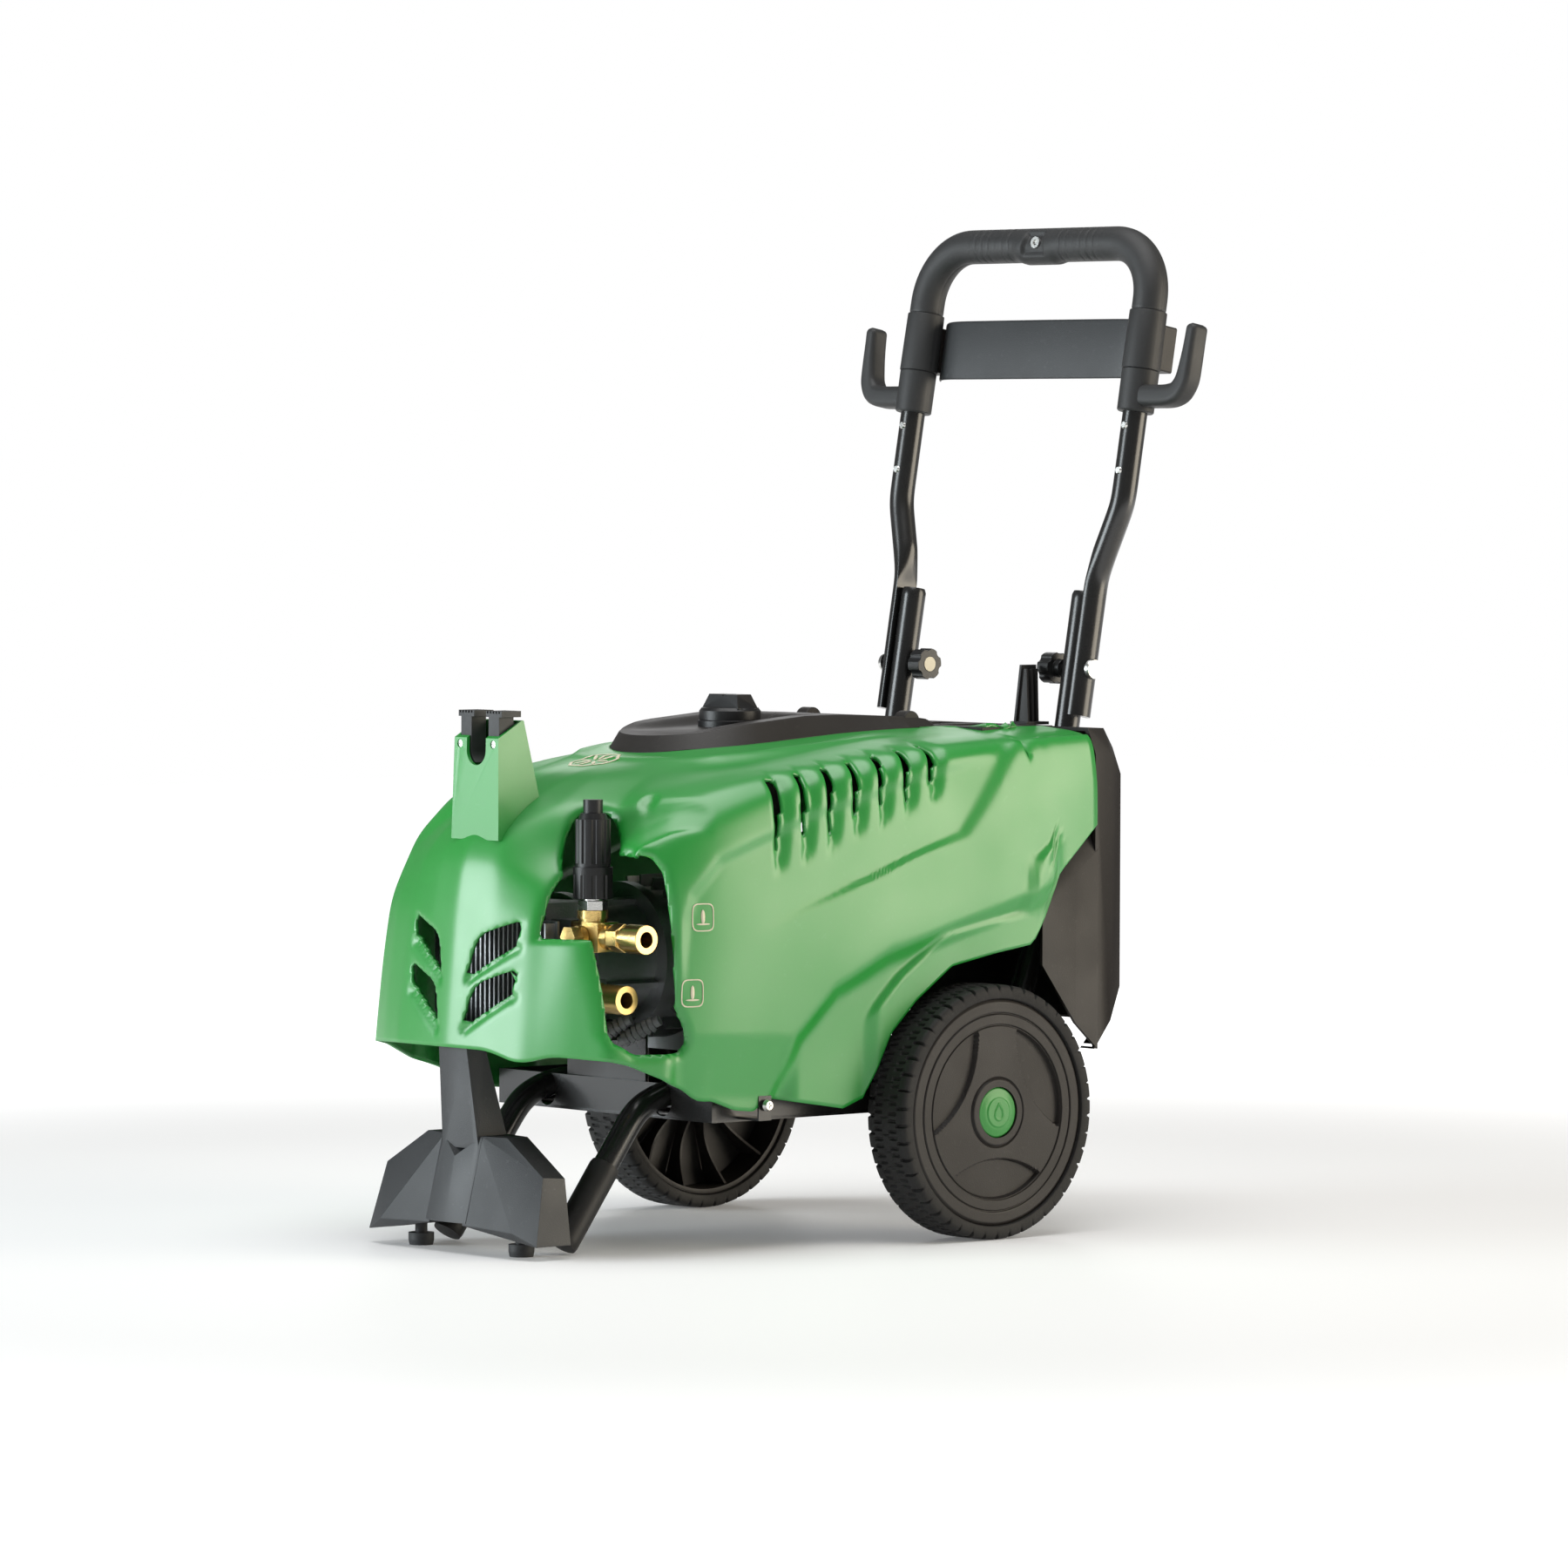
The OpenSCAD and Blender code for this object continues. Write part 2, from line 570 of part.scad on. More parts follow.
module tube_rivets() color([0.85, 0.85, 0.85]) in_handle()
  for (side = [-1, 1])
    for (s = [200, 246])
      translate([side * arm_x, -tube_r - 1.4, s]) rotate([-90, 0, 0]) {
        cylinder(h = 2.4, r1 = 3, r2 = 4.4, $fn = 32);
        translate([0, 0, 2.3]) cylinder(h = 6, r = 2.4, $fn = 24);
      }

module carriage_bolts() color([0.85, 0.85, 0.85])
  translate([0, pivot_y, pivot_z])
    for (side = [-1, 1]) {
      translate([side * 153.3, 0, 0]) rotate([0, side * 90, 0]) difference() {
        sphere(r = 10.3, $fn = 48);
        translate([-12, -12, -24]) cube([24, 24, 24]);
        translate([-12, -12, 4.6]) cube([24, 24, 24]);
      }
      translate([side * 153.5, 0, 0]) rotate([0, -side * 90, 0]) cylinder(h = 60, r = 4, $fn = 32);
    }

module star_knob(side) translate([side * 99.5, pivot_y, pivot_z]) rotate([0, -side * 90, 0])
  translate([0, 0, -13.5]) difference() {
    union() {
      translate([0, 0, 8]) cylinder(h = 16, r = 16, $fn = 64);
      cylinder(h = 8.5, r = 9, $fn = 48);
    }
    for (i = [0:5]) rotate(i * 60 + 7) translate([19.5, 0, 7]) cylinder(h = 20, r = 5.5, $fn = 32);
    translate([0, 0, -1]) cylinder(h = 21, r = 4.05, $fn = 32);
    translate([0, 0, 22]) cylinder(h = 4, r = 7.6, $fn = 48);
  }

module knob_face(side) translate([side * 99.5, pivot_y, pivot_z]) rotate([0, -side * 90, 0])
  translate([0, 0, 8.6]) cylinder(h = 2.4, r = 7.5, $fn = 48);

module star_knob_right() color([0.02, 0.02, 0.02]) star_knob(1);
module star_knob_left() color([0.02, 0.02, 0.02]) star_knob(-1);
module knob_face_right() color([0.8, 0.78, 0.68]) knob_face(1);
module knob_face_left() color([0.8, 0.78, 0.68]) knob_face(-1);

module side_bracket() color([0.02, 0.02, 0.02]) {
  hull() {
    translate([90, 258, 498.2]) cube([3, 28, 1]);
    translate([90, 266, 556]) cube([3, 20, 1]);
  }
  for (i = [0:2]) hull() {
    translate([92, 261 + 9 * i, 498.2]) cube([16 - 3 * i, 2.5, 1]);
    translate([92, 268 + 6.5 * i, 552]) cube([6, 2.5, 1]);
  }
  translate([86, 257.2, 497.3]) cube([24, 30.8, 3]);
}

module dial_ring() color([0.04, 0.04, 0.04]) translate([0, -39.5, 494.5]) difference() {
  cylinder(h = 10.5, r = 31.5, $fn = 96);
  translate([0, 0, 3]) cylinder(h = 10, r = 29, $fn = 96);
  translate([0, 0, -1]) cylinder(h = 6, r = 8.05, $fn = 48);
}

module power_knob() color([0.035, 0.035, 0.035]) translate([0, -39.5, 0]) {
  translate([0, 0, 498]) cylinder(h = 16, r = 28.7, $fn = 96);
  translate([0, 0, 514]) cylinder(h = 3.4, r1 = 30.5, r2 = 28, $fn = 96);
  translate([0, 0, 505.4]) cylinder(h = 9, r = 30.5, $fn = 96);
  difference() {
    hull() {
      translate([-27, -13, 516.5]) cube([54, 26, 0.5]);
      translate([-21, -9, 530]) cube([42, 18, 0.6]);
    }
    translate([-1, -14, 529]) cube([2, 28, 3]);
  }
  translate([0, 0, 478]) cylinder(h = 21, r = 8, $fn = 48);
}

module switch_box() color([0.12, 0.12, 0.13]) difference() {
  union() {
    translate([-46, -92, 412]) cube([92, 108, 58]);
    translate([-30, -66, 470]) cube([60, 52, 22]);
  }
  translate([-43, -89, 409]) cube([86, 102, 58]);
  translate([0, -39.5, 460]) cylinder(h = 40, r = 8.05, $fn = 48);
}

module motor_case() color([0.32, 0.33, 0.34]) translate([0, 0, motor_z]) rotate([90, 0, 0]) {
  difference() {
    union() {
      translate([0, 0, -60]) cylinder(h = 230, r = motor_r - 12, $fn = 96);
      for (i = [0:fin_count - 1]) rotate(i * 360 / fin_count)
        translate([motor_r - 13, -1.2, -50]) cube([13, 2.4, 205]);
    }
    translate([0, 0, -61]) cylinder(h = 232, r = motor_r - 20, $fn = 96);
  }
  for (at = [-60, 163]) translate([0, 0, at]) difference() {
    cylinder(h = 7, r = motor_r - 12, $fn = 96);
    translate([0, 0, -1]) cylinder(h = 9, r = 9.06, $fn = 48);
  }
}

module motor_feet() color([0.3, 0.31, 0.32])
  for (y = [-130, 20])
    difference() {
      translate([-60, y, 127.6]) cube([120, 26, 90]);
      translate([-46, y - 1, 134]) cube([92, 28, 50]);
      translate([0, y - 1, motor_z]) rotate([-90, 0, 0]) cylinder(h = 28, r = motor_r + 0.2, $fn = 96);
    }

module fan_cowl() color([0.04, 0.04, 0.04]) translate([0, 0, motor_z]) rotate([-90, 0, 0]) difference() {
  translate([0, 0, 61]) cylinder(h = 62, r = motor_r + 4, $fn = 96);
  translate([0, 0, 60]) cylinder(h = 60, r = motor_r + 1, $fn = 96);
  for (ring = [0:4]) for (i = [0:11]) rotate(i * 30 + ring * 15)
    translate([14 + ring * 13, 0, 110]) cylinder(h = 20, r = 3.2, $fn = 24);
}

module motor_shaft() color([0.5, 0.5, 0.52]) translate([0, 0, motor_z]) rotate([90, 0, 0]) {
  translate([0, 0, -105]) cylinder(h = 310, r = 9, $fn = 64);
  translate([0, 0, -40]) cylinder(h = 180, r = motor_r - 24, $fn = 96);
}

module cooling_fan() color([0.1, 0.1, 0.11]) translate([0, 0, motor_z]) rotate([-90, 0, 0]) {
  difference() {
    translate([0, 0, 74]) cylinder(h = 26, r = 18, $fn = 64);
    translate([0, 0, 70]) cylinder(h = 34, r = 9, $fn = 64);
  }
  for (i = [0:fan_blades - 1]) rotate(i * 360 / fan_blades) translate([17, -1.2, 76]) rotate([24, 0, 0])
    cube([52, 2.4, 22]);
}

module pump_case() color([0.42, 0.43, 0.44]) translate([0, 0, motor_z]) rotate([90, 0, 0]) difference() {
  union() {
    translate([0, 0, 170.3]) cylinder(h = 12, r = 74, $fn = 96);
    translate([0, 0, 182]) cylinder(h = 78, r = 58, $fn = 96);
    translate([0, 0, 250]) cylinder(h = 12, r = 66, $fn = 96);
    for (i = [0:7]) rotate(i * 45 + 22.5) translate([56, -3, 182]) cube([8, 6, 70]);
  }
  translate([0, 0, 160]) cylinder(h = 60, r = 9.06, $fn = 48);
  translate([0, 0, 205]) cylinder(h = 50, r = 48, $fn = 96);
}

module pump_head() color([0.4, 0.41, 0.42]) difference() {
  union() {
    translate([-62, -324, motor_z - 60]) cube([124, 61.7, 120]);
    translate([60, outlet_y - 13, outlet_z - 15]) cube([32, 26, 30]);
    translate([60, outlet_y - 15, inlet_z - 17]) cube([52, 30, 34]);
    for (i = [-1, 1]) for (j = [-1, 1]) translate([i * 48, -324, motor_z + j * 48]) rotate([90, 0, 0])
      cylinder(h = 4.5, r = 7, $fn = 6);
  }
  translate([40, outlet_y, outlet_z]) rotate([0, 90, 0]) cylinder(h = 60, r = 6, $fn = 40);
  translate([40, outlet_y, inlet_z]) rotate([0, 90, 0]) cylinder(h = 80, r = 6, $fn = 40);
}

module pump_fins() color([0.62, 0.63, 0.64]) {
  translate([-88, -331.5, 214]) cube([176, 2.5, 106]);
  for (i = [0:24]) translate([-86 + 7 * i, -343, 216]) cube([2, 12, 102]);
  for (i = [-1, 1]) translate([i * 50, -329.2, 262]) rotate([-90, 0, 0]) cylinder(h = 5, r = 5, $fn = 32);
}

module unloader_body() color([0.75, 0.55, 0.22]) difference() {
  union() {
    // turned upright for the regulator, block and side bosses
    translate([reg_x, outlet_y, outlet_z - 15]) cylinder(h = 34, r = 13.5, $fn = 64);
    translate([reg_x, outlet_y, outlet_z + 17]) cylinder(h = 8, r = 15, $fn = 64);
    translate([92.1, outlet_y - 13, outlet_z - 14]) cube([40, 26, 28]);
    translate([132, outlet_y, outlet_z]) rotate([0, 90, 0]) cylinder(h = 10, r = 12.5, $fn = 64);
  }
  translate([90, outlet_y, outlet_z]) rotate([0, 90, 0]) cylinder(h = 60, r = 6, $fn = 40);
  translate([reg_x, outlet_y, outlet_z]) cylinder(h = 30, r = 6.02, $fn = 40);
}

module unloader_nut() color([0.7, 0.7, 0.72]) translate([reg_x, outlet_y, 0]) {
  translate([0, 0, 331.1]) cylinder(h = 9, r = 14.5, $fn = 6);
  translate([0, 0, 340]) cylinder(h = 2, r = 11, $fn = 48);
  translate([0, 0, 314]) cylinder(h = 80, r = 6, $fn = 48);
}

module brass_plug() color([0.78, 0.58, 0.24]) translate([reg_x, outlet_y - 13.6, outlet_z]) rotate([90, 0, 0]) {
  cylinder(h = 6, r = 10.5, $fn = 48);
  translate([0, 0, 5.9]) cylinder(h = 12, r = 11, $fn = 6);
}

module outlet_fitting() color([0.8, 0.6, 0.25]) translate([0, outlet_y, outlet_z]) rotate([0, 90, 0]) difference() {
  union() {
    translate([0, 0, 142.2]) cylinder(h = 15, r = 14, $fn = 6);
    translate([0, 0, 157]) cylinder(h = 9, r = 11.5, $fn = 64);
    translate([0, 0, 165]) cylinder(h = 24, r = 14, $fn = 64);
  }
  translate([0, 0, 140]) cylinder(h = 60, r = outlet_bore_r, $fn = 48);
}

module inlet_fitting() color([0.8, 0.6, 0.25]) translate([0, outlet_y, inlet_z]) rotate([0, 90, 0]) difference() {
  union() {
    translate([0, 0, 112.2]) cylinder(h = 12, r = 15, $fn = 6);
    translate([0, 0, 124]) cylinder(h = 7, r = 12, $fn = 64);
    translate([0, 0, 130]) cylinder(h = 30, r = 14, $fn = 64);
  }
  translate([0, 0, 110]) cylinder(h = 60, r = inlet_bore_r, $fn = 48);
}

module hose_barbs() color([0.4, 0.41, 0.42])
  for (k = [0:1]) translate([96 + 26 * k, -296 + 14 * k, 204.5]) rotate([0, 62, 30]) {
    cylinder(h = 46, r = 5, $fn = 40);
    for (i = [0:5]) translate([0, 0, 6 + 6 * i]) cylinder(h = 4, r1 = 8, r2 = 6, $fn = 40);
  }

module regulator_knob() color([0.02, 0.02, 0.02]) translate([reg_x, outlet_y, 0]) difference() {
  union() {
    translate([0, 0, 342.3]) cylinder(h = 30, r = 19, $fn = 96);
    translate([0, 0, 372]) cylinder(h = 46, r = 17, $fn = 96);
    translate([0, 0, 417.9]) cylinder(h = 6, r1 = 14.5, r2 = 12, $fn = 96);
    translate([0, 0, 423.8]) cylinder(h = 13, r = 9.5, $fn = 64);
  }
  translate([0, 0, 341]) cylinder(h = 60, r = 6.06, $fn = 48);
  for (i = [0:regulator_flutes - 1]) rotate(i * 360 / regulator_flutes) {
    translate([18.6, 0, 376]) cylinder(h = 60, r = 3, $fn = 24);
    translate([20.8, 0, 341]) cylinder(h = 24, r = 3, $fn = 24);
  }
}

module cable_gland() color([0.03, 0.03, 0.03]) translate([-80, 331.3, 300]) rotate([-90, 0, 0]) difference() {
  union() {
    translate([0, 0, -10]) cylinder(h = 12, r = 9, $fn = 48);
    translate([0, 0, -3]) cylinder(h = 5, r = 15, $fn = 6);
    translate([0, 0, 1.9]) cylinder(h = 16, r1 = 12, r2 = 8, $fn = 48);
  }
  translate([0, 0, -11]) cylinder(h = 40, r = 5, $fn = 48);
}

hood();
lance_post();
lance_insert();
post_screws();
top_cover();
cover_clips();
rear_deck();
rear_cover();
side_screws();
chassis_tray();
frame_tubes();
leg_sleeves();
front_foot();
rubber_feet();
front_bracket();
axle();
axle_brackets();
axle_caps();
tyre_right();
rim_right();
cap_right();
tyre_left();
rim_left();
cap_left();
handle_tube();
handle_grip();
handle_collars();
handle_band();
tube_rivets();
grip_eyelet();
carriage_bolts();
star_knob_right();
star_knob_left();
knob_face_right();
knob_face_left();
side_bracket();
dial_ring();
power_knob();
switch_box();
motor_case();
motor_feet();
fan_cowl();
motor_shaft();
cooling_fan();
pump_case();
pump_head();
pump_fins();
unloader_body();
unloader_nut();
brass_plug();
outlet_fitting();
inlet_fitting();
hose_barbs();
regulator_knob();
cable_gland();
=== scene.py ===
import json
import math
import bmesh
import bpy
import numpy as np
from mathutils import Matrix, Vector


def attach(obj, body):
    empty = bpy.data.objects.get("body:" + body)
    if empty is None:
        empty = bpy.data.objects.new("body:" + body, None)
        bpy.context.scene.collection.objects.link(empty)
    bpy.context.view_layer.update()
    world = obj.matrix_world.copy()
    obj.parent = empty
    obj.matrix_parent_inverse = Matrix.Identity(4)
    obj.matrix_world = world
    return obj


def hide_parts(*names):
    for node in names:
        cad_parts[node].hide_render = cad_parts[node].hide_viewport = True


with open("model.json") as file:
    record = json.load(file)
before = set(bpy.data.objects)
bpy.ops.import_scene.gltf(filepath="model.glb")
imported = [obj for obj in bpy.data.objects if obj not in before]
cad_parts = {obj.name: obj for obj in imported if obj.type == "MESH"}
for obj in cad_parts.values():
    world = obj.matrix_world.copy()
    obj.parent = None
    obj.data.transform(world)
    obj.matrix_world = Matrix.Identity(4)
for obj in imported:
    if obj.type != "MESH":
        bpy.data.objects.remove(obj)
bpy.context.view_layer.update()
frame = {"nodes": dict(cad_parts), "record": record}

nodes = frame["nodes"]
print("frame loaded:", len(nodes), "nodes")

# camera: stands in front of the hose side, a little above the machine
cameraSet = {
    "place": (6.02154, -5.20392, 0.76346),
    "right": (0.6560216, 0.75473477, 0.00332954),
    "up": (-0.03275833, 0.02406592, 0.99917352),
    "forward": (-0.75403087, 0.65558848, -0.04051162),
    "lens": 184.575,
}


def makeCamera(s):
    data = bpy.data.cameras.new("camera")
    data.lens = s["lens"]
    data.sensor_width = 36.0
    data.clip_end = 60.0
    cam = bpy.data.objects.new("camera", data)
    bpy.context.scene.collection.objects.link(cam)
    r, u, f = (Vector(s[k]).normalized() for k in ("right", "up", "forward"))
    m = Matrix((r, u, -f)).transposed().to_4x4()
    m.translation = Vector(s["place"])
    cam.matrix_world = m
    bpy.context.scene.camera = cam


makeCamera(cameraSet)

# lights: a cool panel on the nose side, a warm one on the wheel side, soft top
lightSet = {
    "nosePanel": {"at": (-2.1, -3.9, 1.0), "to": (0.0, -0.3, 0.35), "size": 2.7, "watts": 172,
                  "colour": (0.88, 0.96, 1.0)},
    "sidePanel": {"at": (3.2, 2.7, 1.0), "to": (0.15, 0.0, 0.35), "size": 2.9, "watts": 118,
                  "colour": (1.0, 0.90, 0.73)},
    "topPanel": {"at": (0.3, -0.2, 3.3), "to": (0.0, 0.0, 0.3), "size": 3.0, "watts": 82,
                 "colour": (1.0, 1.0, 1.0)},
    "backRim": {"at": (-2.6, 2.2, 1.6), "to": (0.0, 0.2, 0.6), "size": 1.2, "watts": 7,
                "colour": (1.0, 1.0, 1.0)},
    "seenWorld": 1.0, "fillWorld": 0.18,
}


def makeLights(s):
    for name in ("nosePanel", "sidePanel", "topPanel", "backRim"):
        p = s[name]
        data = bpy.data.lights.new(name, "AREA")
        data.shape = "DISK"
        data.size = p["size"]
        data.energy = p["watts"]
        data.color = p["colour"]
        lamp = bpy.data.objects.new(name, data)
        bpy.context.scene.collection.objects.link(lamp)
        lamp.location = p["at"]
        lamp.rotation_euler = (Vector(p["to"]) - Vector(p["at"])).to_track_quat("-Z", "Y").to_euler()
    world = bpy.data.worlds.new("studio")
    world.use_nodes = True
    n, l = world.node_tree.nodes, world.node_tree.links
    seen, fill, mix = n["Background"], n.new("ShaderNodeBackground"), n.new("ShaderNodeMixShader")
    seen.inputs["Color"].default_value = (1.0, 1.0, 1.0, 1.0)
    seen.inputs["Strength"].default_value = s["seenWorld"]
    fill.inputs["Color"].default_value = (1.0, 1.0, 1.0, 1.0)
    fill.inputs["Strength"].default_value = s["fillWorld"]
    l.new(n.new("ShaderNodeLightPath").outputs["Is Camera Ray"], mix.inputs["Fac"])
    l.new(fill.outputs[0], mix.inputs[1])
    l.new(seen.outputs[0], mix.inputs[2])
    l.new(mix.outputs[0], n["World Output"].inputs["Surface"])
    bpy.context.scene.world = world
    view = bpy.context.scene.view_settings
    view.view_transform = "Standard"
    view.look = "None"


makeLights(lightSet)
print("camera and lights placed")


# small tools for surfaces
def smoothStep(a, b, x):
    # cubic ramp from 0 at a to 1 at b
    t = np.clip((x - a) / (b - a), 0.0, 1.0)
    return t * t * (3.0 - 2.0 * t)


def meshObject(name, points, faces, smooth=True):
    # points in millimetres, faces as an array or a list of index rows
    mesh = bpy.data.meshes.new(name)
    mesh.from_pydata((np.asarray(points, float) / 1000.0).tolist(), [], [list(map(int, f)) for f in faces])
    mesh.update()
    mesh.validate()
    if smooth:
        mesh.polygons.foreach_set("use_smooth", np.ones(len(mesh.polygons), bool))
    obj = bpy.data.objects.new(name, mesh)
    bpy.context.scene.collection.objects.link(obj)
    return obj


def gridFaces(rows, cols, closeRows=False, closeCols=False, start=0):
    # quads of a rows x cols grid of points, wrapped where it closes
    i = np.arange(rows if closeRows else rows - 1)[:, None]
    j = np.arange(cols if closeCols else cols - 1)[None, :]
    i2, j2 = (i + 1) % rows, (j + 1) % cols
    q = np.stack(np.broadcast_arrays(i * cols + j, i * cols + j2, i2 * cols + j2, i2 * cols + j), -1)
    return q.reshape(-1, 4) + start


def fixNormals(obj, merge=0.0):
    b = bmesh.new()
    b.from_mesh(obj.data)
    if merge:
        bmesh.ops.remove_doubles(b, verts=b.verts, dist=merge)
    bmesh.ops.recalc_face_normals(b, faces=b.faces)
    b.to_mesh(obj.data)
    b.free()


def bevel(obj, width, segments=2, angle=35):
    m = obj.modifiers.new("edges", "BEVEL")
    m.width = width / 1000.0
    m.segments = segments
    m.limit_method = "ANGLE"
    m.angle_limit = math.radians(angle)
    m.harden_normals = False
    return m


def thicken(obj, wall, offset=-1.0):
    # shell of the given wall in mm, inward unless the offset says otherwise
    m = obj.modifiers.new("wall", "SOLIDIFY")
    m.thickness = wall / 1000.0
    m.offset = offset


def polyDistance(y, z, line, closed=False):
    # distance to a polyline in the (y, z) plane, with the sign of the side it lies on
    p = np.asarray(line, float)
    if closed:
        p = np.vstack([p, p[:1]])
    q = np.stack([y, z], -1)[..., None, :]
    a, b = p[:-1], p[1:]
    d = b - a
    t = np.clip(((q - a) * d).sum(-1) / (d * d).sum(-1), 0, 1)
    near = a + t[..., None] * d
    dist = np.linalg.norm(q - near, axis=-1)
    k = dist.argmin(-1)
    cross = d[k, 0] * (z - a[k, 1]) - d[k, 1] * (y - a[k, 0])
    return np.take_along_axis(dist, k[..., None], -1)[..., 0] * np.sign(cross)


def insidePoly(y, z, line):
    # negative inside a closed outline, positive outside: even-odd crossings give the sign
    p = np.asarray(line, float)
    a, b = p, np.roll(p, -1, 0)
    yy, zz = y[..., None], z[..., None]
    hit = ((a[:, 1] > zz) != (b[:, 1] > zz)) & (yy < (b[:, 0] - a[:, 0]) * (zz - a[:, 1]) / (b[:, 1] - a[:,
        1] + 1e-9) + a[:, 0])
    sign = np.where(hit.sum(-1) % 2 == 1, -1.0, 1.0)
    return sign * np.abs(polyDistance(y, z, line, True))


def carryProfile(path, profile, side=(1.0, 0.0, 0.0), closed=False):
    # a closed profile (points across, points up) carried along a path: at each path point the
    # profile's first axis lies across the path and its second completes the right-handed frame
    path = np.asarray(path, float)
    t = np.roll(path, -1, 0) - np.roll(path, 1, 0) if closed else np.gradient(path, axis=0)
    t /= np.linalg.norm(t, axis=1)[:, None]
    s = np.broadcast_to(np.asarray(side, float), t.shape)
    s = s - (s * t).sum(1)[:, None] * t
    s = s / np.linalg.norm(s, axis=1)[:, None]
    n = np.cross(t, s)
    prof = np.asarray(profile, float)
    if prof.ndim == 2:
        prof = np.broadcast_to(prof, (len(path),) + prof.shape)
    return path[:, None, :] + prof[..., 0:1] * s[:, None, :] + prof[..., 1:2] * n[:, None, :]


def capEnds(rows, cols):
    # the two end faces of a swept tube
    return [list(range(cols))[::-1], list(range((rows - 1) * cols, rows * cols))]


def sweptFaces(rows, cols):
    return gridFaces(rows, cols, False, True).tolist() + capEnds(rows, cols)


def roundProfile(r, count=24, flat=1.0):
    a = np.arange(count) * 2 * math.pi / count
    return np.stack([np.cos(a) * r, np.sin(a) * r * flat], -1)


def boxProfile(w, h, r, count=5):
    # rounded rectangle w by h with corner radius r
    a = np.linspace(0, math.pi / 2, count)
    quarter = [(w / 2 - r, h / 2 - r, 0), (-w / 2 + r, h / 2 - r, 1), (-w / 2 + r, -h / 2 + r, 2),
               (w / 2 - r, -h / 2 + r, 3)]
    return np.concatenate([np.stack([cx + r * np.cos(a + k * math.pi / 2),
                                     cy + r * np.sin(a + k * math.pi / 2)], -1)
                           for cx, cy, k in quarter])


def smoothPath(points, step=4.0, soft=10.0):
    # evenly spaced points along a polyline, corners rounded by a Gaussian of width soft
    p = np.asarray(points, float)
    seg = np.r_[0, np.cumsum(np.linalg.norm(np.diff(p, axis=0), axis=1))]
    n = max(8, int(seg[-1] / step))
    s = np.linspace(0, seg[-1], n)
    q = np.stack([np.interp(s, seg, p[:, k]) for k in range(p.shape[1])], -1)
    return gaussRows(q, soft / (seg[-1] / n)) if soft else q


def gaussRows(a, sigma, keepEnds=True):
    # Gaussian smoothing along the first axis; ends are mirrored through their end point
    if np.max(sigma) <= 0:
        return a
    k = int(max(1, math.ceil(3 * sigma)))
    w = np.exp(-0.5 * (np.arange(-k, k + 1) / sigma) ** 2)
    w /= w.sum()
    k = min(k, len(a) - 1)
    w = w[len(w) // 2 - k:len(w) // 2 + k + 1]
    w /= w.sum()
    lo = 2 * a[:1] - a[1:k + 1][::-1] if keepEnds else np.repeat(a[:1], k, 0)
    hi = 2 * a[-1:] - a[-k - 1:-1][::-1] if keepEnds else np.repeat(a[-1:], k, 0)
    ext = np.concatenate([lo, a, hi], 0)
    return sum(w[i] * ext[i:i + len(a)] for i in range(2 * k + 1))


def dress(obj, body, slotName, *stands):
    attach(obj, body)
    if stands:
        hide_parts(*stands)
    obj.data.materials.clear()
    obj.data.materials.append(materials[slotName])
    return obj


# finishes: two shared node groups, one material per slot
def newGroup(name, inputs, outputs):
    g = bpy.data.node_groups.new(name, "ShaderNodeTree")
    for label, kind, value in inputs:
        s = g.interface.new_socket(label, in_out="INPUT", socket_type=kind)
        s.default_value = value
    for label, kind in outputs:
        g.interface.new_socket(label, in_out="OUTPUT", socket_type=kind)
    return g, g.nodes.new("NodeGroupInput"), g.nodes.new("NodeGroupOutput")


def mathNode(n, operation):
    m = n.new("ShaderNodeMath")
    m.operation = operation
    return m


def makeMouldGrain():
    # fine spark-eroded skin: a sharp noise over small cells, with a slow flow ripple below it
    g, gin, gout = newGroup("mouldGrain", [("Grain Size", "NodeSocketFloat", 900.0),
                                           ("Ripple", "NodeSocketFloat", 0.25),
                                           ("Low", "NodeSocketFloat", 0.3), ("High", "NodeSocketFloat",
                                                                             0.4)],
                            [("Height", "NodeSocketFloat"), ("Rough", "NodeSocketFloat")])
    n, l = g.nodes, g.links
    at = n.new("ShaderNodeTexCoord")
    fine = n.new("ShaderNodeTexNoise")
    fine.inputs["Detail"].default_value = 3.0
    slow = n.new("ShaderNodeTexNoise")
    slow.inputs["Scale"].default_value = 14.0
    slow.inputs["Detail"].default_value = 2.0
    cell = n.new("ShaderNodeTexVoronoi")
    mixUp = mathNode(n, "MULTIPLY_ADD")
    ripple = mathNode(n, "MULTIPLY")
    total = mathNode(n, "ADD")
    toRough = n.new("ShaderNodeMapRange")
    for tex in (fine, slow, cell):
        l.new(at.outputs["Object"], tex.inputs["Vector"])
    l.new(gin.outputs["Grain Size"], fine.inputs["Scale"])
    l.new(gin.outputs["Grain Size"], cell.inputs["Scale"])
    l.new(cell.outputs["Distance"], mixUp.inputs[0])
    mixUp.inputs[1].default_value = 0.6
    l.new(fine.outputs["Fac"], mixUp.inputs[2])
    l.new(slow.outputs["Fac"], ripple.inputs[0])
    l.new(gin.outputs["Ripple"], ripple.inputs[1])
    l.new(mixUp.outputs[0], total.inputs[0])
    l.new(ripple.outputs[0], total.inputs[1])
    l.new(total.outputs[0], gout.inputs["Height"])
    l.new(slow.outputs["Fac"], toRough.inputs["Value"])
    toRough.inputs["From Min"].default_value = 0.3
    toRough.inputs["From Max"].default_value = 0.7
    l.new(gin.outputs["Low"], toRough.inputs["To Min"])
    l.new(gin.outputs["High"], toRough.inputs["To Max"])
    l.new(toRough.outputs["Result"], gout.inputs["Rough"])
    return g


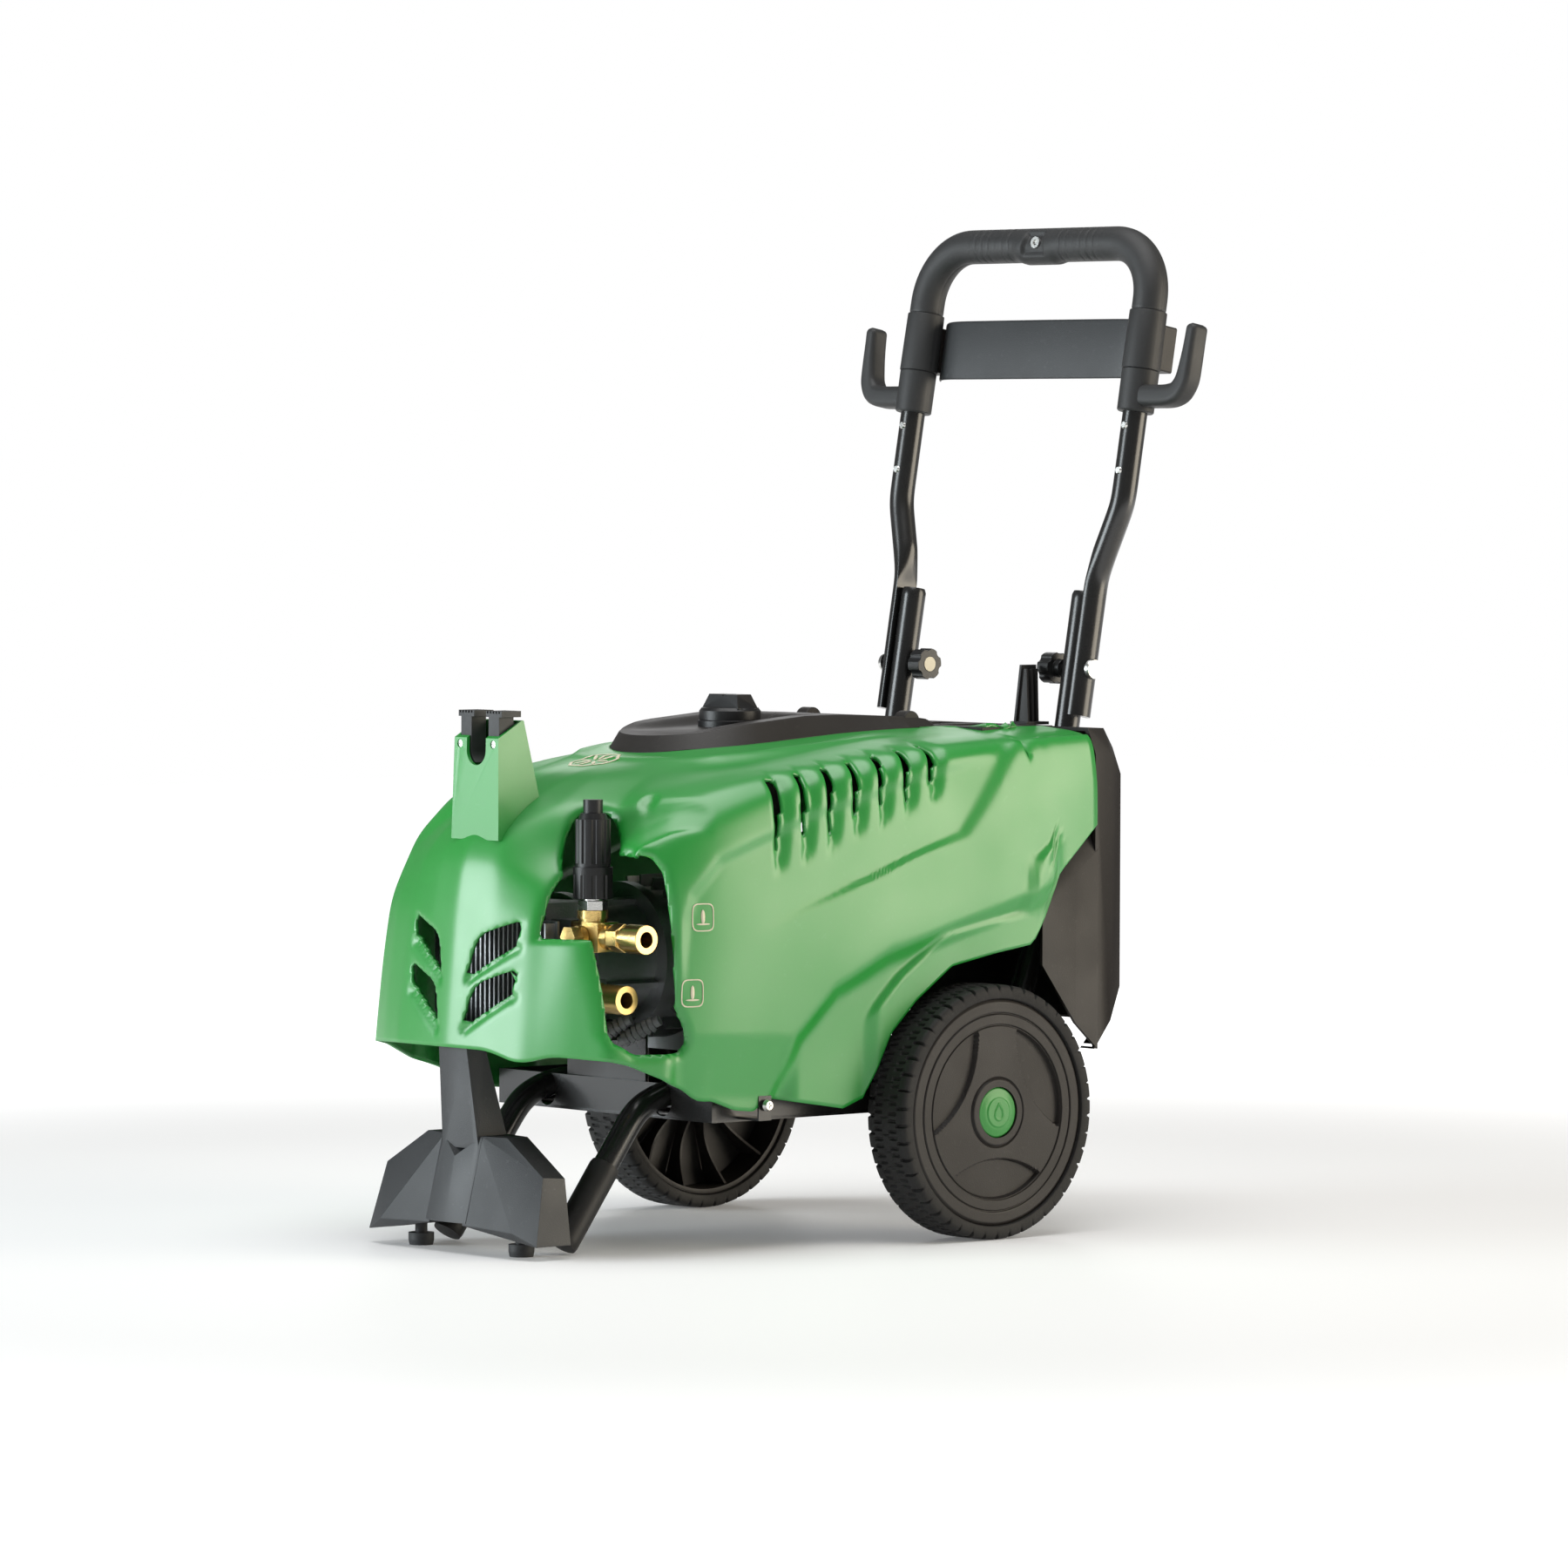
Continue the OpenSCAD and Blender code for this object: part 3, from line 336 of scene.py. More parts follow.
def makeToneDrift():
    # slow change between two close colours, plus sparse pale scuffs
    g, gin, gout = newGroup("toneDrift", [("Main", "NodeSocketColor", (0.5, 0.5, 0.5, 1)),
                                          ("Drift", "NodeSocketColor", (0.5, 0.5, 0.5, 1)),
                                          ("Scuff", "NodeSocketColor", (0.7, 0.7, 0.7, 1)), ("Scuffs",
                                           "NodeSocketFloat", 0.1),
                                          ("Spread", "NodeSocketFloat", 6.0)],
                            [("Colour", "NodeSocketColor")])
    n, l = g.nodes, g.links
    at = n.new("ShaderNodeTexCoord")
    slow = n.new("ShaderNodeTexNoise")
    slow.inputs["Detail"].default_value = 4.0
    marks = n.new("ShaderNodeTexNoise")
    marks.inputs["Scale"].default_value = 160.0
    marks.inputs["Detail"].default_value = 6.0
    marks.inputs["Distortion"].default_value = 1.4
    cut = n.new("ShaderNodeMapRange")
    cut.inputs["From Min"].default_value = 0.62
    cut.inputs["From Max"].default_value = 0.78
    few = mathNode(n, "MULTIPLY")
    a = n.new("ShaderNodeMix")
    a.data_type = "RGBA"
    b = n.new("ShaderNodeMix")
    b.data_type = "RGBA"
    l.new(at.outputs["Object"], slow.inputs["Vector"])
    l.new(at.outputs["Object"], marks.inputs["Vector"])
    l.new(gin.outputs["Spread"], slow.inputs["Scale"])
    l.new(slow.outputs["Fac"], a.inputs["Factor"])
    l.new(gin.outputs["Main"], a.inputs["A"])
    l.new(gin.outputs["Drift"], a.inputs["B"])
    l.new(marks.outputs["Fac"], cut.inputs["Value"])
    l.new(cut.outputs["Result"], few.inputs[0])
    l.new(gin.outputs["Scuffs"], few.inputs[1])
    l.new(few.outputs[0], b.inputs["Factor"])
    l.new(a.outputs["Result"], b.inputs["A"])
    l.new(gin.outputs["Scuff"], b.inputs["B"])
    l.new(b.outputs["Result"], gout.inputs["Colour"])
    return g


mouldGrain = makeMouldGrain()
toneDrift = makeToneDrift()

finishes = {
    # main, drift and scuff colour, scuff amount, grain size and depth, roughness low and high, metal,
    # coat, specular level (shine)
    "green_plastic": dict(main=(0.008, 0.255, 0.026), drift=(0.010, 0.268, 0.030), scuff=(0.2, 0.6, 0.28),
                          scuffs=0.05, grain=900, depth=0.05, low=0.36, high=0.42, coat=0.12, shine=0.95),
    "black_plastic": dict(main=(0.016, 0.0155, 0.015), drift=(0.019, 0.0185, 0.018),
    scuff=(0.12, 0.12, 0.12), scuffs=0.12, grain=1100, depth=0.16, low=0.42, high=0.52, shine=0.38),
    "brown_black_plastic": dict(main=(0.015, 0.0125, 0.011), drift=(0.018, 0.0155, 0.0135),
    scuff=(0.12, 0.11, 0.1), scuffs=0.12, grain=1000, depth=0.16, low=0.46, high=0.56, shine=0.38),
    "foot_plastic": dict(main=(0.022, 0.024, 0.026), drift=(0.026, 0.028, 0.030), scuff=(0.16, 0.16, 0.17),
                         scuffs=0.18, grain=900, depth=0.2, low=0.44, high=0.54),
    "soft_grip": dict(main=(0.014, 0.0145, 0.015), drift=(0.017, 0.0175, 0.018), scuff=(0.1, 0.1, 0.1),
                      scuffs=0.1, grain=1300, depth=0.2, low=0.5, high=0.6),
    "insert_rubber": dict(main=(0.022, 0.023, 0.024), drift=(0.028, 0.029, 0.03), scuff=(0.1, 0.1, 0.1),
                          scuffs=0.1, grain=1300, depth=0.15, low=0.5, high=0.62),
    "tyre_rubber": dict(main=(0.010, 0.0095, 0.009), drift=(0.013, 0.0125, 0.012),
    scuff=(0.09, 0.085, 0.08), scuffs=0.2, grain=700, depth=0.25, low=0.58, high=0.72, shine=0.38),
    "wheel_plastic": dict(main=(0.016, 0.0135, 0.012), drift=(0.019, 0.0165, 0.0145),
    scuff=(0.12, 0.11, 0.1), scuffs=0.12, grain=1000, depth=0.18, low=0.46, high=0.56, shine=0.38),
    "cap_plastic": dict(main=(0.022, 0.23, 0.032), drift=(0.026, 0.245, 0.036), scuff=(0.2, 0.5, 0.22),
                        scuffs=0.06, grain=1000, depth=0.06, low=0.34, high=0.42, coat=0.1),
    "black_steel": dict(main=(0.009, 0.0088, 0.0086), drift=(0.011, 0.0108, 0.0105),
    scuff=(0.05, 0.05, 0.05), scuffs=0.08, grain=500, depth=0.06, low=0.22, high=0.30, coat=0.25),
    "bright_steel": dict(main=(0.62, 0.62, 0.60), drift=(0.70, 0.70, 0.68), scuff=(0.4, 0.4, 0.4),
                         scuffs=0.25, grain=700, depth=0.06, low=0.22, high=0.34, metal=1.0),
    "knob_plastic": dict(main=(0.009, 0.0092, 0.0096), drift=(0.012, 0.0123, 0.0128),
    scuff=(0.07, 0.07, 0.07), scuffs=0.1, grain=1000, depth=0.12, low=0.30, high=0.40, shine=0.38),
    "cream_plastic": dict(main=(0.66, 0.60, 0.44), drift=(0.72, 0.66, 0.50), scuff=(0.4, 0.37, 0.3),
                          scuffs=0.12, grain=900, depth=0.06, low=0.40, high=0.5),
    "cast_alloy": dict(main=(0.30, 0.31, 0.32), drift=(0.40, 0.41, 0.42), scuff=(0.12, 0.12, 0.12),
                       scuffs=0.3, grain=420, depth=0.35, low=0.34, high=0.52, metal=0.9),
    "brass": dict(main=(0.72, 0.50, 0.17), drift=(0.82, 0.60, 0.25), scuff=(0.40, 0.27, 0.09), scuffs=0.3,
                  grain=420, depth=0.10, low=0.20, high=0.34, metal=1.0),
    "grey_hose": dict(main=(0.10, 0.105, 0.11), drift=(0.13, 0.135, 0.14), scuff=(0.2, 0.2, 0.2),
                      scuffs=0.15, grain=800, depth=0.15, low=0.42, high=0.55),
}


def makeFinish(name, f):
    m = bpy.data.materials.new(name)
    m.use_nodes = True
    n, l = m.node_tree.nodes, m.node_tree.links
    p = n["Principled BSDF"]
    tone = n.new("ShaderNodeGroup")
    tone.node_tree = toneDrift
    tone.inputs["Main"].default_value = (*f["main"], 1)
    tone.inputs["Drift"].default_value = (*f["drift"], 1)
    tone.inputs["Scuff"].default_value = (*f["scuff"], 1)
    tone.inputs["Scuffs"].default_value = f["scuffs"]
    grain = n.new("ShaderNodeGroup")
    grain.node_tree = mouldGrain
    grain.inputs["Grain Size"].default_value = f["grain"]
    grain.inputs["Low"].default_value = f["low"]
    grain.inputs["High"].default_value = f["high"]
    bump = n.new("ShaderNodeBump")
    bump.inputs["Strength"].default_value = f["depth"]
    bump.inputs["Distance"].default_value = 0.0006
    l.new(tone.outputs["Colour"], p.inputs["Base Color"])
    l.new(grain.outputs["Rough"], p.inputs["Roughness"])
    l.new(grain.outputs["Height"], bump.inputs["Height"])
    l.new(bump.outputs["Normal"], p.inputs["Normal"])
    p.inputs["Metallic"].default_value = f.get("metal", 0.0)
    p.inputs["Specular IOR Level"].default_value = f.get("shine", 0.5)
    if "coat" in f:
        p.inputs["Coat Weight"].default_value = f["coat"]
        p.inputs["Coat Roughness"].default_value = 0.18
    return m


materials = {name: makeFinish(name, f) for name, f in finishes.items()}
slotOf = {s["node"]: s["material_slot"] for s in frame["record"]["subparts"]}
for name, obj in nodes.items():
    slotName = slotOf[name]
    for i in range(len(obj.data.materials)):
        obj.data.materials[i] = materials[slotName]
print("finishes made:", len(materials))


# green hood: one lofted skin, cut along outlines and thickened
hoodSet = {
    "wall": 4.0, "swooshRise": 4.2, "swooshSink": 9.5, "panelSink": 3.4, "archRise": 5.0, "louverDip": 4.5,
    "nosePitch": 3.6, "sidePitch": 3.5, "rearPitch": 6.5,   # spacing of the columns along the plan
    "rows": 112,
    "softNose": 1.6, "softSide": 5.0,                      # rounding of the control lines, in grid steps
    # columns of (x, y, z), bottom edge to top opening, nose centre first, then round to the rear
    "nose": [
        [(0, -399, 130), (0, -399, 188), (0, -391, 272), (0, -385, 332), (0, -377, 376), (0, -362, 404),
         (0, -330, 432), (0, -272, 458), (0, -212, 468.5), (0, -167, 475.5)],
        [(47, -394, 130), (47, -392.5, 188), (47, -384, 272), (46, -378, 332), (44, -369, 376),
         (39, -354, 404), (34, -322, 433), (30, -268, 458), (22, -208, 469), (16, -165.6, 475.7)],
        [(93, -386, 130), (93, -384, 188), (92, -373.5, 272), (90, -367, 332), (86, -355, 376),
         (76, -338, 404), (65, -308, 432), (52, -256, 457), (42, -200, 469), (31, -161.5, 476.5)],
        [(140, -366, 130), (140, -364, 188), (138, -356, 272), (133, -351, 332), (122, -337, 376),
         (105, -318, 404), (88, -288, 431), (70, -240, 456), (58, -192, 470), (45, -155, 477.6)],
        [(181, -346, 130), (181, -344, 188), (174, -339, 272), (167, -334, 332), (150, -322, 378),
         (124, -297, 410), (106, -266, 434), (86, -222, 455.5), (70, -180, 471), (57, -146.6, 479)],
    ],
    "side": [
        [(188, -318, 130), (188, -316, 190), (187, -315, 272), (183, -310, 340), (170, -300, 392),
         (146, -280, 424), (120, -250, 442), (96, -208, 457), (80, -168, 472), (66, -138, 480.2)],
        [(198, -278, 130), (200, -276, 180), (201, -274, 272), (198, -272, 352), (188, -268, 402),
         (168, -256, 432), (138, -228, 448), (108, -190, 460), (88, -152, 473), (74, -128, 481.3)],
        [(205, -232, 130), (207, -232, 190), (208, -232, 290), (206, -232, 370), (198, -230, 416),
         (178, -222, 442), (146, -198, 455), (112, -164, 464), (94, -132, 475), (81, -116, 482.5)],
        [(207, -190, 130), (209, -190, 210), (211, -190, 310), (208, -190, 390), (201, -189, 430),
         (182, -184, 452), (148, -170, 461), (114, -142, 468), (98, -114, 477.5), (87, -100, 483.6)],
        [(209, -140, 130), (212, -140, 220), (213, -140, 310), (211, -140, 400), (204, -140, 444),
         (188, -138, 460), (152, -128, 467), (118, -110, 472), (101, -92, 480), (89.5, -86, 484.8)],
        [(213, -70, 130), (216, -70, 230), (216, -70, 320), (213, -70, 410), (206, -70, 454),
         (192, -70, 468), (158, -68, 474), (122, -64, 478), (102, -62, 483.5), (90.3, -62, 486.4)],
        [(217, 30, 130), (220, 30, 240), (219, 30, 330), (215, 30, 420), (207, 30, 466), (195, 30, 480),
         (164, 30, 485), (126, 30, 488), (104, 30, 491.5), (90.3, 30, 493.3)],
        [(219, 110, 130), (221, 110, 240), (220, 110, 330), (216, 110, 425), (209, 110, 472),
         (198, 110, 486), (168, 110, 490.5), (130, 110, 492), (106, 110, 494.5), (90.3, 110, 496.6)],
        [(219, 158, 130), (222, 158, 240), (221, 158, 340), (217, 158, 430), (210, 158, 476),
         (200, 158, 489), (172, 158, 493), (134, 158, 495), (108, 158, 496), (90.3, 158, 498)],
        [(219, 163, 130), (222, 163, 240), (221, 163, 340), (217, 163, 430), (210, 163, 477),
         (202, 163, 489), (184, 163, 493), (170, 163, 495), (158, 163, 496), (150.3, 163, 498)],
        [(218, 205, 130), (221, 205, 250), (220, 205, 350), (217, 205, 436), (211, 205, 480),
         (203, 205, 490), (186, 205, 494), (170, 205, 495.5), (158, 205, 496.5), (150.3, 205, 498)],
        [(214, 256.5, 130), (216, 256.5, 260), (216, 256.5, 360), (214, 256.5, 440), (210, 252, 481),
         (203, 249, 491), (186, 246, 494.5), (170, 244, 496), (158, 243, 497), (150.3, 242, 498)],
    ],
    "bottom": [(-420, 199), (-399, 198), (-342, 191), (-324, 187), (-267, 163), (-196, 138), (-174, 136),
               (-157, 148), (-66, 134), (-42, 143),
               (-30, 167), (-12, 205), (19, 236), (64, 268), (120, 279), (169, 286), (186, 311), (197,
                351), (256, 401), (260, 404)],
    "archEdge": [(-42, 143), (-30, 167), (-12, 205), (19, 236), (64, 268), (120, 279), (169, 286),
                 (186, 311), (197, 351)],
    "swooshHigh": [(175, 530), (133, 479), (72, 403), (-32, 364), (-184, 312)],
    "swooshLow": [(300, 395), (205, 353), (-23, 291), (-70, 268), (-90, 259), (-137, 211), (-160, 150),
                  (-164, 120)],
    "panelEdge": [(-288, 150), (-284, 235), (-272, 325), (-263, 352), (-230, 387), (-189, 402), (-107, 430),
                  (-50, 443), (38, 466), (120, 479)],
    "lowCrease": [(-300, 214), (-265, 215), (-137, 209)],
    "window": [(-345, 306), (-343, 218), (-338, 209), (-326, 203), (-318, 197), (-268, 196), (-261, 206),
               (-265, 222), (-273, 240), (-277, 290), (-283, 370), (-290, 384), (-303, 390),
               (-322, 398), (-322, 440), (-420, 440), (-420, 306)],
    "windowInner": 98.0,
    "ventCount": 7,
}


def ventOutline(i):
    # one slanted slot in the side view: tall at the front of the row, shorter towards the rear
    y = -144.0 + 33.0 * i
    top, tip = 457.0 + 4.6 * i, 372.0 + 10.6 * i
    return [(y - 12, top - 2), (y - 1, top + 2), (y - 3, top - 0.36 * (top - tip)), (y - 13, tip - 10),
            (y - 16, top - 0.45 * (top - tip))]


slotOutlines = [[(81.5, 320), (74, 320.5), (38, 309), (30, 303), (25, 292), (18, 264), (76, 298)],
                [(81.6, 274), (74, 274), (38, 262), (30, 256), (24.5, 245), (17.5, 216), (75, 251)]]


def hoodSurface(s):
    # column curves are laid round the plan, spaced evenly, rounded by Gaussians along both
    # directions, trimmed at the bottom outline and spread again over the rows
    half = np.array(s["nose"] + s["side"], float)
    mirror = half[1:][::-1] * np.array([-1.0, 1.0, 1.0])
    ctrl = np.concatenate([mirror, half])
    low = ctrl[:, 1, :2]
    run = np.r_[0, np.cumsum(np.linalg.norm(np.diff(low, axis=0), axis=1))]
    mid = run[len(run) // 2]
    noseEnd, sideEnd, total = 235.0, 620.0, run[-1] - mid
    right = np.unique(np.concatenate([np.linspace(0, noseEnd, int(noseEnd / s["nosePitch"])),
                                      np.linspace(noseEnd, sideEnd,
                                                  int((sideEnd - noseEnd) / s["sidePitch"])),
                                      np.linspace(sideEnd, total,
                                                  int((total - sideEnd) / s["rearPitch"]))]))
    u = np.r_[-right[::-1], right[1:]] + mid
    net = np.stack([np.stack([np.interp(u, run, ctrl[:, k, c]) for c in range(3)],
                             -1) for k in range(ctrl.shape[1])], 1)
    step = gaussRows(net, s["softNose"])
    wide = gaussRows(net, s["softSide"])
    span = np.abs(u - mid)[:, None, None]
    w = smoothStep(205, 300, span) * smoothStep(total, total - 60, span)
    kept = net[:, -1].copy()
    net = step * (1 - w) + wide * w
    net[:, -1, :] = np.where(np.abs(u - mid)[:, None] > total - 130, kept, net[:, -1, :])
    # dense polyline down each column, rounded
    dense = 260
    k = np.linspace(0, net.shape[1] - 1, dense)
    k0 = np.minimum(k.astype(int), net.shape[1] - 2)
    f = (k - k0)[None, :, None]
    col = net[:, k0] * (1 - f) + net[:, k0 + 1] * f
    soft = gaussRows(np.swapaxes(col, 0, 1), 7.0)
    col = np.swapaxes(soft, 0, 1)
    zLow = np.interp(col[:, :, 1], [p[0] for p in s["bottom"]], [p[1] for p in s["bottom"]])
    over = col[:, :, 2] - zLow
    first = np.argmax(over > 0, axis=1)
    arc = np.concatenate([np.zeros((len(u), 1)), np.cumsum(np.linalg.norm(np.diff(col, axis=1), axis=2),
                                                           axis=1)], 1)
    r = np.arange(len(u))
    a, b = np.maximum(first - 1, 0), first
    t = np.clip(-over[r, a] / (over[r, b] - over[r, a] + 1e-9), 0, 1)
    start = arc[r, a] * (1 - t) + arc[r, b] * t
    rows = np.linspace(0, 1, s["rows"])
    out = np.stack([np.stack([np.interp(start[i] + rows * (arc[i, -1] - start[i]), arc[i],
                                        col[i, :, c]) for c in range(3)], -1)
                    for i in range(len(u))])
    return out


def surfaceNormals(g):
    du, dv = np.gradient(g, axis=0), np.gradient(g, axis=1)
    n = np.cross(du, dv)
    return n / (np.linalg.norm(n, axis=-1, keepdims=True) + 1e-9)


def hoodRelief(g, n, s):
    # depth of every moulded feature, in millimetres along the outward normal
    x, y, z = np.abs(g[..., 0]), g[..., 1], g[..., 2]
    sideWay = smoothStep(0.45, 0.8, np.abs(n[..., 0])) * smoothStep(-330, -300, y)
    d = np.zeros_like(x)
    hi = polyDistance(y, z, s["swooshHigh"])
    reach = smoothStep(-190, -20, y)
    d += sideWay * reach * s["swooshRise"] * smoothStep(0, 4 + 14 * smoothStep(0, 110, y),
                                                        hi) * smoothStep(160, 60, hi)
    lo = polyDistance(y, z, s["swooshLow"])
    d -= sideWay * s["swooshSink"] * smoothStep(1, 24, lo) * smoothStep(-170, -150, y)
    edge = polyDistance(y, z, s["panelEdge"])
    d -= (1 - smoothStep(60, 150, y)) * smoothStep(0.45, 0.85,
                                                   np.abs(n[..., 0])) * s["panelSink"] * smoothStep(0, 16,
        -edge) * smoothStep(-300, -270, y)
    crease = polyDistance(y, z, s["lowCrease"])
    d -= sideWay * 0.20 * np.clip(-crease, 0, 60) * smoothStep(-120, -150, y) * smoothStep(-290, -262, y)
    arch = np.abs(polyDistance(y, z, s["archEdge"]))
    d += sideWay * s["archRise"] * smoothStep(37, 29, arch) * smoothStep(-45, -25, y) * smoothStep(205, 190,
                                                                                                   y)
    return d


def collarLift(g):
    # height over the deck: slopes away from the opening, blended with a soft maximum
    x, y, z = np.abs(g[..., 0]), g[..., 1], g[..., 2]
    rc = np.where(y < -77, np.hypot(x, y + 77) - 90, x - 90)
    edge = np.interp(y, [-167, -145, -76, 34, 136], [475.5, 479.3, 485.5, 493.5, 497.5])
    cone = edge - 0.10 * rc - 0.5 * np.maximum(rc - 34, 0)
    k = 1.5
    lift = np.log1p(np.exp(np.clip((cone - z) / k, -30, 30))) * k
    fade = smoothStep(120, 40, y) * smoothStep(96, 80, rc)
    return np.where(rc > 0.2, np.minimum(lift, 24) * fade * smoothStep(0, 6, rc), 0)


def channelDrop(g):
    # trough from the regulator back along the shoulder, with a round dimple at its side
    x, y = g[..., 0], g[..., 1]
    ax, ay, bx, by = 118.0, -316.0, 196.0, -226.0
    t = ((x - ax) * (bx - ax) + (y - ay) * (by - ay)) / ((bx - ax) ** 2 + (by - ay) ** 2)
    off = ((x - ax) * (by - ay) - (y - ay) * (bx - ax)) / math.hypot(bx - ax, by - ay)
    width = 30 * (1 - 0.8 * np.clip(t, 0, 1))
    drop = 26 * (1 - np.clip(t, 0, 1)) ** 0.8 * np.exp(-(off / width) ** 4)
    drop *= smoothStep(-0.9, -0.2, t) * smoothStep(1.05, 0.9, t)
    dimple = 5.0 * np.exp(-(np.hypot(x - 134, y + 256) / 8.0) ** 4)
    return drop + dimple


def cutGrid(g, fields):
    # drops quads inside any outline and pulls the inner corners of crossed quads onto the outline
    f = np.minimum.reduce(fields)
    rows, cols = f.shape
    moved = g.copy()
    best = np.full(f.shape, np.inf)
    for di, dj in ((0, 1), (1, 0), (0, -1), (-1, 0), (1, 1), (1, -1), (-1, 1), (-1, -1)):
        ii = np.clip(np.arange(rows) + di, 0, rows - 1)
        jj = np.clip(np.arange(cols) + dj, 0, cols - 1)
        fn, gn = f[np.ix_(ii, jj)], g[np.ix_(ii, jj)]
        ok = (f < 0) & (fn >= 0)
        t = np.where(ok, -f / (fn - f + 1e-9), 0)
        size = t * np.linalg.norm(gn - g, axis=-1)
        take = ok & (size < best)
        best = np.where(take, size, best)
        moved = np.where(take[..., None], g + t[..., None] * (gn - g), moved)
    q = gridFaces(rows, cols)
    inside = (f.reshape(-1) < 0)[q]
    keep = ~np.all(inside, axis=1)
    return moved, q[keep]


def outlineRoll(f, depth, reach):
    # quarter-round lip: falls away by depth within reach of the outline
    t = np.clip(f / reach, 0, 1)
    return -depth * (1 - np.sqrt(1 - (1 - t) ** 2 + 1e-9))


def makeHood(s):
    g = hoodSurface(s)
    n = surfaceNormals(g)
    if n[len(n) // 2, 20, 1] > 0:
        n = -n
    g = g + n * hoodRelief(g, n, s)[..., None]
    g[..., 2] += collarLift(g)
    g[..., 2] -= channelDrop(g)
    n = surfaceNormals(g)
    if n[len(n) // 2, 20, 1] > 0:
        n = -n
    x, y, z = g[..., 0], g[..., 1], g[..., 2]
    ax = np.abs(x)
    window = np.maximum(s["windowInner"] - x, insidePoly(y, z, s["window"]))
    window = np.where(x > 60, window, 60.0)
    notch = np.maximum(np.maximum(np.hypot(x - 109, y + 309) - 27, -x + 82), 330 - z)
    window = np.minimum(window, notch)
    vents = np.full(x.shape, 60.0)
    flare = np.zeros_like(x)
    for i in range(s["ventCount"]):
        o = ventOutline(i)
        v = np.where(ax > 150, insidePoly(y, z, o), 60.0)
        vents = np.minimum(vents, v)
        # louver: the skin dips behind the slot's rear edge and climbs back within 15 mm
        rearEdge = np.interp(z, [o[3][1], o[2][1], o[1][1]], [o[3][0], o[2][0], o[1][0]])
        past = y - rearEdge
        dip = smoothStep(15, 0, past) * smoothStep(-2.5, 0.0, past) * smoothStep(o[3][1] - 2, o[3][1] + 22,
            z) * smoothStep(o[1][1] + 4, o[1][1] - 6, z)
        flare = np.minimum(flare, -s["louverDip"] * dip * (ax > 150))
    slots = np.full(x.shape, 60.0)
    for o in slotOutlines:
        v = np.where((y < -300) & (z < 345), insidePoly(ax, z, o), 60.0)
        slots = np.minimum(slots, v)
        # the skin below each slot slopes in to its lower edge
        lowEdge = np.interp(ax, [o[-2][0], o[-1][0]], [o[-2][1], o[-1][1]])
        under = lowEdge - z
        dip = smoothStep(13, 0, under) * smoothStep(-2.0, 0.0, under) * smoothStep(16, 22,
            ax) * smoothStep(86, 76, ax) * (y < -300)
        flare = np.minimum(flare, -s["louverDip"] * dip)
    g = g + n * (flare + outlineRoll(window, 6.0, 9.0) + outlineRoll(vents, 1.2, 2.5) + outlineRoll(slots,
        1.2, 2.5))[..., None]
    moved, faces = cutGrid(g, [window, vents, slots])
    obj = meshObject("hoodShell", moved.reshape(-1, 3), faces)
    b = bmesh.new()
    b.from_mesh(obj.data)
    bmesh.ops.delete(b, geom=[v for v in b.verts if not v.link_faces], context="VERTS")
    bmesh.ops.dissolve_degenerate(b, edges=b.edges, dist=0.00005)
    bmesh.ops.recalc_face_normals(b, faces=b.faces)
    b.faces.ensure_lookup_table()
    low = min(b.faces, key=lambda q: q.calc_center_median().y)
    if low.normal.y > 0:
        bmesh.ops.reverse_faces(b, faces=b.faces)
    b.to_mesh(obj.data)
    b.free()
    thicken(obj, s["wall"])
    dress(obj, "chassis", "green_plastic", "hood")
    return obj, g


hoodShell, hoodGrid = makeHood(hoodSet)
print("hood shell made:", len(hoodShell.data.polygons), "faces")


# wheels
wheelSet = {
    "axle": (98.0, 125.0), "inner": 190.0, "radius": 125.0,
    "edgeBlocks": 46, "blockGap": 0.16, "rings": (112.5, 97.0, 85.5), "ringDepth": 1.6, "ringWidth": 1.5,
    "lensDepth": 5.0, "lensOut": 84.5, "lensIn": 45.0, "lensBow": 0.0052, "hubRing": 32.0, "faceAt": 53.0,
}


def wheelPlace(g, side):
    # wheel frame (out along the axle, forward, up) to the machine frame
    x = side * (wheelSet["inner"] + g[..., 0])
    return np.stack([x, wheelSet["axle"][0] + g[..., 1], wheelSet["axle"][1] + g[..., 2]], -1)


